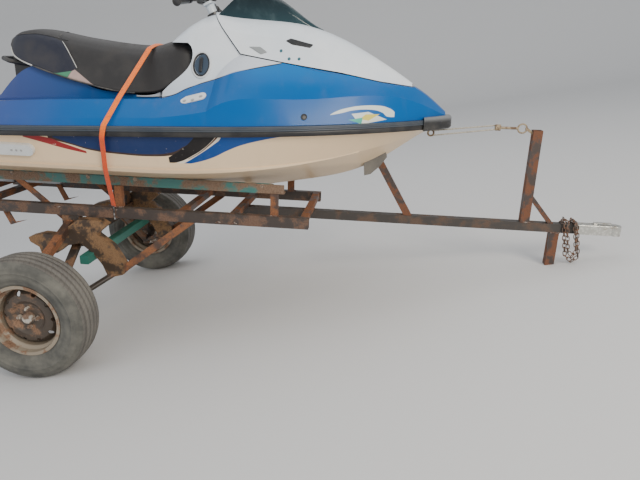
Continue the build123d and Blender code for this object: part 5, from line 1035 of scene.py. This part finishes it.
piping_pale = plastic_material("piping_pale", (0.5, 0.5, 0.48), 0.4)
piping_dark = plastic_material("piping_dark", (0.03, 0.031, 0.035), 0.5)
for side, hand in HANDS:
    seam = [PANEL_SEAM[1], *[(0.061 - 0.074 * i / 6, 0.206 + 0.259 * i / 6) for i in range(1, 7)], PANEL_SEAM[3]]
    on_body(swept("seat_piping_" + hand, [seat_point(x, s, side, 0.0006) for x, s in seam], round_profile(0.0026, 8),
                  piping_pale), "seat_vinyl")
    edge = [(-0.345 + 0.325 * i / 30, SEAT_SHOULDER) for i in range(31)]
    on_body(swept("seat_welt_" + hand, [seat_point(x, s, side, 0.0002) for x, s in edge], round_profile(0.0014, 8),
                  piping_dark), "seat_vinyl")
    for name, start, end, material in (("pale", -0.372, -0.19, piping_pale), ("dark", -0.186, 0.40, piping_dark)):
        foot = [seat_point(start + (end - start) * i / 30, 0.012, side, 0.0015) for i in range(31)]
        on_body(swept(f"seat_gasket_{name}_{hand}", foot, round_profile(0.0042, 8), material), "seat_vinyl")
across_seam = [seat_point(x, s, -1, 0.0002) for x, s in PANEL_SEAM[3:]]
across_seam += [seat_point(x, s, 1, 0.0002) for x, s in PANEL_SEAM[-2:2:-1]]
on_body(swept("seat_cross_seam", across_seam, round_profile(0.0022, 8), piping_dark), "seat_vinyl")

# ---------------------------------------------------------------------------------------------
# Fittings of the deck and cowl: black grab handle, filler cap in a white ring, bolted plates, a
# grey diamond reflector, slatted vents, blanked mirror holes and drain outlets.
# ---------------------------------------------------------------------------------------------
PLATE_SINK = 0.002


def surface_patch(name, under, outline, side, rise, material, slot, body="craft_and_trailer"):
    """Thin moulded plate that follows a node's flank: outline holds level x and z places."""
    mid_x, mid_z = (sum(p[axis] for p in outline) / len(outline) for axis in (0, 1))
    layers = ((1.0, -PLATE_SINK), (1.0, rise * 0.5), (0.92, rise), (0.6, rise), (0.3, rise))  # share, lift
    points = []
    for share, lift in layers:
        for x, z in outline:
            spot, normal = side_hit(under, mid_x + (x - mid_x) * share, mid_z + (z - mid_z) * share, side)
            points.append(spot + normal * lift)
    spot, normal = side_hit(under, mid_x, mid_z, side)
    points += [spot + normal * rise, spot - normal * PLATE_SINK]
    count, top = len(outline), len(layers) * len(outline)
    faces = ring_quads(len(layers), count)
    faces += [(top - count + i, top - count + (i + 1) % count, top) for i in range(count)]
    faces += [((i + 1) % count, i, top + 1) for i in range(count)]
    return on_body(solid(name, points, faces, material), slot, body=body)


def oval(x, z, half_x, half_z, count):
    """Oval outline in level x and z."""
    turn = 2 * math.pi / count
    return [(x + half_x * math.cos(turn * i), z + half_z * math.sin(turn * i)) for i in range(count)]


def rounded(corners, radius, steps=4):
    """Outline with its corners rounded."""
    out = []
    for before, corner, after in zip(corners[-1:] + corners[:-1], corners, corners[1:] + corners[:1]):
        spot = Vector(corner)
        into, away = (Vector(before) - spot).normalized(), (Vector(after) - spot).normalized()
        for i in range(steps + 1):
            t = i / steps
            out.append(tuple(spot + into * radius * (1 - t) ** 2 + away * radius * t**2))
    return out


def ring_on(name, under, outline, side, profile, material, slot):
    """Closed bead along an outline on a node's flank."""
    hits = [side_hit(under, x, z, side) for x, z in outline]
    on_body(swept(name, [spot + normal * 0.001 for spot, normal in hits], profile, material,
                  [normal for _, normal in hits], loop=True), slot)


black_plastic = plastic_material("black_plastic", (0.014, 0.014, 0.016), 0.3)
dress(black_plastic, "grab_handle", "display", "column_socket", "throttle_lever", "bar_pad", "handlebar")
dress(plastic_material("cap_blue_black", (0.03, 0.05, 0.08), 0.15), "side_cap")
ring_white = plastic_material("ring_white", (0.6, 0.62, 0.64), 0.3)
CAP_X, CAP_Z = 0.771, 1.557
for name, half_x, half_z, thick, material, slot in (
    ("filler_ring", 0.050, 0.062, 0.0045, ring_white, "white_plastic"),
    ("filler_seal", 0.0435, 0.0545, 0.0042, black_plastic, "black_plastic"),
):
    ring_on(name, "console", oval(CAP_X, CAP_Z, half_x, half_z, 48), -1,
            [(u, v * 1.3) for u, v in round_profile(thick, 8)], material, slot)
grip_corners = [(CAP_X + x, CAP_Z + z) for x, z in ((-0.008, -0.036), (0.008, -0.036), (0.008, 0.036), (-0.008, 0.036))]
surface_patch("filler_grip", "side_cap", rounded(grip_corners, 0.006), -1, 0.007, black_plastic, "black_plastic")

dress(gel_material("plate_white", (0.62, 0.64, 0.66), dirt=0.5), "deck_plates")
fastened("plate_bolts", "stainless", "deck_plates", ((0.732, 1.388), (0.774, 1.394), (0.812, 1.412)), screw_steel,
         0.0052, 0.004, 0.0095)

reflector_grey = plastic_material("reflector_grey", (0.24, 0.26, 0.27), 0.15)
blank_teal = plastic_material("blank_teal", (0.02, 0.10, 0.13), 0.2)
# Painted shade: near-black patches for the dark insides of the vent mouths and the drain bores.
vent_black = plastic_material("vent_black", (0.008, 0.009, 0.011), 0.04)
slat_black = plastic_material("slat_black", (0.025, 0.03, 0.036), 0.05)
diamond = rounded([(1.018, 1.652), (1.076, 1.653), (1.113, 1.628), (1.082, 1.617)], 0.003)
mouth = rounded([(1.198, 1.686), (1.222, 1.699), (1.338, 1.672), (1.322, 1.655), (1.232, 1.668)], 0.006)
DRAIN_X, DRAIN_Z, SLAT_STEPS = 1.33, 1.335, 12
for side, hand in HANDS:
    surface_patch("reflector_" + hand, "hatch", diamond, side, 0.0035, reflector_grey, "white_plastic", "front_hatch")
    surface_patch("hood_vent_" + hand, "hatch", mouth, side, 0.0018, vent_black, "black_plastic", "front_hatch")
    for index in range(3):
        xa, za = 1.226 + 0.004 * index, 1.692 - 0.0075 * index
        xb, zb = 1.330 - 0.002 * index, 1.671 - 0.005 * index
        hits = [side_hit("hatch", xa + (xb - xa) * i / SLAT_STEPS, za + (zb - za) * i / SLAT_STEPS, side)
                for i in range(SLAT_STEPS + 1)]
        on_body(swept(f"vent_slat_{hand}_{index}", [spot + normal * 0.0022 for spot, normal in hits],
                      round_profile(0.0016, 6), slat_black), "black_plastic", body="front_hatch")
    for index, (x, z) in enumerate(((1.181, 1.637), (1.225, 1.600), (1.274, 1.601))):
        surface_patch(f"mirror_blank_{hand}_{index}", "hatch", oval(x, z, 0.0075, 0.0075, 16), side, 0.002,
                      blank_teal, "black_plastic", "front_hatch")
    ring_on("drain_ring_" + hand, "deck", oval(DRAIN_X, DRAIN_Z, 0.013, 0.013, 24), side, round_profile(0.0026, 8),
            slat_black, "black_plastic")
    surface_patch("drain_bore_" + hand, "deck", oval(DRAIN_X, DRAIN_Z, 0.0105, 0.0105, 20), side, 0.0008,
                  vent_black, "black_plastic")

# ---------------------------------------------------------------------------------------------
# Windshield, steering and drive: slate-teal tinted acrylic; black bar with
# ribbed grips; dull cast alloy pump with a stainless impeller.
# ---------------------------------------------------------------------------------------------
tint, tint_tree, tint_shader = new_material("windshield_tint", 0.12, coat=0.15, ior=1.3)
_, _, tint_z, tint_vector = level_place(tint_tree)
deep = mixed(tint_tree, ramp(tint_tree, tint_z, 1.74, 1.93), (0.016, 0.042, 0.052), (0.005, 0.012, 0.016))
smears = ramp(tint_tree, noise(tint_tree, tint_vector, 8.0, 5.0, 0.6, (1.0, 2.0, 0.6)), 0.45, 0.75)
wire(tint_tree, tint_shader, mixed(tint_tree, product(tint_tree, smears, 0.3), deep, (0.08, 0.13, 0.14)),
     ramp(tint_tree, smears, 0, 1, 0.12, 0.3))
dress(tint, "windshield")


def grip_colors(tree, x, y, z, vector):
    # Painted light and shade: lighter bands for the lit rib crests, darker bands for the shade between the ribs.
    ribs = calc(tree, "FRACT", product(tree, y, 160.0))
    return mixed(tree, ramp(tree, ribs, 0.35, 0.5), (0.009, 0.009, 0.010), (0.028, 0.028, 0.03))


dress(plastic_material("grip_rubber", grip_colors, 0.2), "grips")
alloy, alloy_tree, alloy_shader = new_material("pump_alloy", 0.45, metallic=0.9)
alloy_vector = level_place(alloy_tree)[3]
chalk = ramp(alloy_tree, noise(alloy_tree, alloy_vector, 14.0, 6.0, 0.65), 0.38, 0.7)
wire(alloy_tree, alloy_shader, mixed(alloy_tree, chalk, (0.30, 0.31, 0.32), (0.42, 0.42, 0.40)),
     ramp(alloy_tree, chalk, 0, 1, 0.35, 0.65),
     bumped(alloy_tree, noise(alloy_tree, alloy_vector, 240.0, 3.0), 0.3, 0.0008))
dress(alloy, "pump_housing", "steering_nozzle", "ride_plate", "intake_grate")
dress(screw_steel, "impeller", "hatch_hinge")
dress(steel_material("engine_paint", (0.05, 0.05, 0.055), (0.12, 0.09, 0.07), 0.2, 12.0), "engine")

# ---------------------------------------------------------------------------------------------
# Tie-downs: faded orange polyester webbing over the seat, woven in ribs along its length, with painted light
# above the rub rail and painted shade below it and between its ribs, and two strands of laid rope from the
# bow eye to the tensioner's toggle.
# ---------------------------------------------------------------------------------------------
WEB_HALF, WEB_MID, WEB_THICK = 0.0132, 0.0018, 0.0011
WEB_PROFILE = (
    # across, outwards, place across the weave
    (-1, 0.5, 0), (-0.95, 1, 0.03), (-0.33, 0.86, 0.33), (0.33, 0.86, 0.67), (0.95, 1, 0.97), (1, 0.5, 1),
    (1, -0.5, 1), (0.95, -1, 0.97), (0, -0.8, 0.5), (-0.95, -1, 0.03), (-1, -0.5, 0),
)
CROWN_Z, CROWN_Y, CROWN_FOOT, CROWN_STEPS = 1.6535, 0.152, 1.629, 12
STRAP_X, STRAP_SLANT = 0.264, 0.223
web_corners = [(0.3365, 0.797), (0.4965, 1.035), (0.5795, 1.211), (0.5795, 1.246), (0.5755, 1.2695), (0.449, 1.388),
               (CROWN_Y, CROWN_FOOT)]
web_line = []
for index, corner in enumerate(web_corners):
    if index in (0, len(web_corners) - 1):
        web_line.append(Vector(corner))
        continue
    spot = Vector(corner)
    into, away = Vector(web_corners[index - 1]) - spot, Vector(web_corners[index + 1]) - spot
    reach = min(0.009, into.length * 0.45, away.length * 0.45)
    web_line += [spot + into.normalized() * reach * (1 - t) ** 2 + away.normalized() * reach * t**2
                 for t in (0, 0.25, 0.5, 0.75, 1)]
crown_r = (CROWN_Y**2 + (CROWN_Z - CROWN_FOOT) ** 2) / (2 * (CROWN_Z - CROWN_FOOT))
crown_turn = math.asin(CROWN_Y / crown_r)
over = [Vector((crown_r * math.sin(a), CROWN_Z - crown_r + crown_r * math.cos(a)))
        for a in (crown_turn * (1 - i / CROWN_STEPS) for i in range(1, 2 * CROWN_STEPS))]
half_line = []
for a, b in zip(web_line, web_line[1:]):
    pieces = max(1, int((b - a).length / 0.012))
    half_line += [a + (b - a) * i / pieces for i in range(pieces)]
half_line.append(web_line[-1])
flat_line = half_line + over + [Vector((-p.x, p.y)) for p in reversed(half_line)]
web_path = [parked(STRAP_X + (p.y - 0.787) * STRAP_SLANT, p.x, p.y) for p in flat_line]
web_wide = (parked(1, 0, -STRAP_SLANT) - parked(0, 0, 0)).normalized()
web_middle = parked(STRAP_X + 0.4 * STRAP_SLANT, 0, 1.187)
web_rings = []
for index, point in enumerate(web_path):
    run = (web_path[min(index + 1, len(web_path) - 1)] - web_path[max(index - 1, 0)]).normalized()
    out = web_wide.cross(run).normalized()
    out = out if out.dot(point - web_middle) > 0 else -out
    web_rings.append([point + out * (WEB_MID + v * WEB_THICK) + web_wide * (u * WEB_HALF) for u, v, _ in WEB_PROFILE])


def ribs_along(tree, place, count):
    """Ribs across a direction of a map, count to one of its units."""
    return calc(tree, "ABSOLUTE", calc(tree, "SUBTRACT", calc(tree, "FRACT", product(tree, place, count)), 0.5))


web, web_tree, web_shader = new_material("strap_orange", 0.75)
web_shader.inputs["Sheen Weight"].default_value = 0.25
_, _, web_z, web_vector = level_place(web_tree)
weave_across, weave_along = map_place(web_tree, "weave")
weave = calc(web_tree, "ADD", ribs_along(web_tree, weave_across, 11.0),
             product(web_tree, ribs_along(web_tree, weave_along, 620.0), 0.6))
# Painted light and shade: brighter orange above z 1.27 and deeper red below z 1.19 under the rub rail; then brown
# stains from noise.
lit_and_stained_orange = mixed(web_tree, ramp(web_tree, web_z, 1.19, 1.27), (0.80, 0.075, 0.0), (1.0, 0.19, 0.0))
lit_and_stained_orange = mixed(web_tree, ramp(web_tree, noise(web_tree, web_vector, 40.0, 4.0), 0.45, 0.75, 0, 0.45), lit_and_stained_orange,
            (0.42, 0.10, 0.04))
# Painted shade: darker red-brown in the grooves between the woven ribs.
wire(web_tree, web_shader, mixed(web_tree, ramp(web_tree, weave, 0.12, 0.3), (0.22, 0.035, 0.02), lit_and_stained_orange),
     normal=bumped(web_tree, weave, 0.6, 0.0009))
webbing = skin("tie_webbing", web_rings, web)
weave_map = webbing.data.uv_layers.new(name="weave")
lengths = [0.0]
for a, b in zip(web_path, web_path[1:]):
    lengths.append(lengths[-1] + (b - a).length)
for loop in webbing.data.loops:
    ring, spot = divmod(loop.vertex_index, len(WEB_PROFILE))
    weave_map.data[loop.index].uv = (WEB_PROFILE[spot][2], lengths[ring])
on_body(webbing, "strap_orange", "tie_strap")

rope, rope_tree, rope_shader = new_material("rope_pale", 0.85)
rope_vector = level_place(rope_tree)[3]
fibres = noise(rope_tree, rope_vector, 420.0, 3.0, 0.6, (0.25, 1.0, 1.0))
wire(rope_tree, rope_shader,
     mixed(rope_tree, ramp(rope_tree, fibres, 0.35, 0.65), (0.25, 0.21, 0.15), (0.56, 0.52, 0.43)),
     normal=bumped(rope_tree, fibres, 0.6, 0.0008))
ROPE_STEPS, ROPE_TURNS = 120, 17
strands = []
for side, hand in HANDS:
    foot = Vector((1.996, side * 0.0093, 1.232 + side * 0.012))
    run = Vector((2.3275, side * 0.006, 1.276 + side * 0.010)) - foot
    wide = run.cross(Vector((0, 0, 1))).normalized()
    high = wide.cross(run).normalized()
    for strand in range(3):
        path = []
        for i in range(ROPE_STEPS + 1):
            turn = 2 * math.pi * (i / ROPE_STEPS * ROPE_TURNS + strand / 3)
            spread = (wide * math.cos(turn) + high * math.sin(turn)) * 0.0019
            path.append(parked(*(foot + run * i / ROPE_STEPS + spread)))
        strands.append(swept(f"bow_rope_{hand}_{strand}", path, round_profile(0.0021, 7), rope))
for strand in strands[1:]:
    on_body(strand, "line_white")
on_body(strands[0], "line_white", "bow_line")

# ---------------------------------------------------------------------------------------------
# Studio: pale floor, soft light and the camera at the photograph's angle.
# ---------------------------------------------------------------------------------------------
FLOOR_HALF, FLOOR_NEAR, SWEEP_AT, SWEEP_R, WALL_TOP, SWEEP_STEPS = 40, -30.0, 10.0, 4.0, 60.0, 16
sweep_rows = [(FLOOR_NEAR, 0.0), (SWEEP_AT, 0.0)]
sweep_rows += [(SWEEP_AT + SWEEP_R * math.sin(a), SWEEP_R - SWEEP_R * math.cos(a))
               for a in (math.pi / 2 * i / SWEEP_STEPS for i in range(1, SWEEP_STEPS + 1))]
sweep_rows += [(SWEEP_AT + SWEEP_R, WALL_TOP)]
floor_mesh = bpy.data.meshes.new("studio_floor")
floor_mesh.from_pydata([(x, y, z) for y, z in sweep_rows for x in (-FLOOR_HALF, FLOOR_HALF)], [],
                       [(2 * i, 2 * i + 1, 2 * i + 3, 2 * i + 2) for i in range(len(sweep_rows) - 1)])
floor_mesh.shade_smooth()
floor = placed("studio_floor", floor_mesh)
floor_paint, _, floor_shader = new_material("studio_floor", 0.7)
floor_shader.inputs["Base Color"].default_value = (0.6, 0.6, 0.6, 1)
floor_mesh.materials.append(floor_paint)
floor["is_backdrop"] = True

world = bpy.data.worlds.new("studio")
bpy.context.scene.world = world
world.use_nodes = True
world.node_tree.nodes["Background"].inputs["Color"].default_value = (0.93, 0.96, 1.0, 1)
world.node_tree.nodes["Background"].inputs["Strength"].default_value = 0.85
for name, place, size, power in (
    ("key_light", (5.0, -6.0, 4.0), 3.0, 560.0),
    ("fill_light", (-6.0, -4.0, 3.0), 6.0, 60.0),
    ("top_light", (0.0, 2.0, 6.5), 7.0, 160.0),
):
    lamp = bpy.data.lights.new(name, "AREA")
    lamp.size = size
    lamp.energy = power
    lamp.color = (1.0, 0.92, 0.8) if name == "key_light" else (1.0, 1.0, 1.0)
    light = placed(name, lamp)
    light.location = place
    light.rotation_euler = (Vector((0, 0, 0.8)) - Vector(place)).to_track_quat("-Z", "Y").to_euler()

CAMERA_AT = (1.902 + SHIFT, -3.149, 1.276)
CAMERA_YAW, CAMERA_PITCH, CAMERA_ROLL = -0.157, 0.296, -0.162
across = Vector((math.cos(CAMERA_YAW), -math.sin(CAMERA_YAW), 0))
ahead = Vector((math.sin(CAMERA_YAW), math.cos(CAMERA_YAW), 0))
view = ahead * math.cos(CAMERA_PITCH) - Vector((0, 0, 1)) * math.sin(CAMERA_PITCH)
lift = Vector((0, 0, 1)) * math.cos(CAMERA_PITCH) + ahead * math.sin(CAMERA_PITCH)
side_way = across * math.cos(CAMERA_ROLL) + lift * math.sin(CAMERA_ROLL)
up_way = lift * math.cos(CAMERA_ROLL) - across * math.sin(CAMERA_ROLL)
lens = bpy.data.cameras.new("camera")
lens.sensor_width = 36.0
lens.lens = 30.98
lens.clip_start = 0.05
camera = placed("camera", lens)
camera.matrix_world = Matrix((*zip(side_way, up_way, -view, CAMERA_AT), (0, 0, 0, 1)))
bpy.context.scene.camera = camera

low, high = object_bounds()
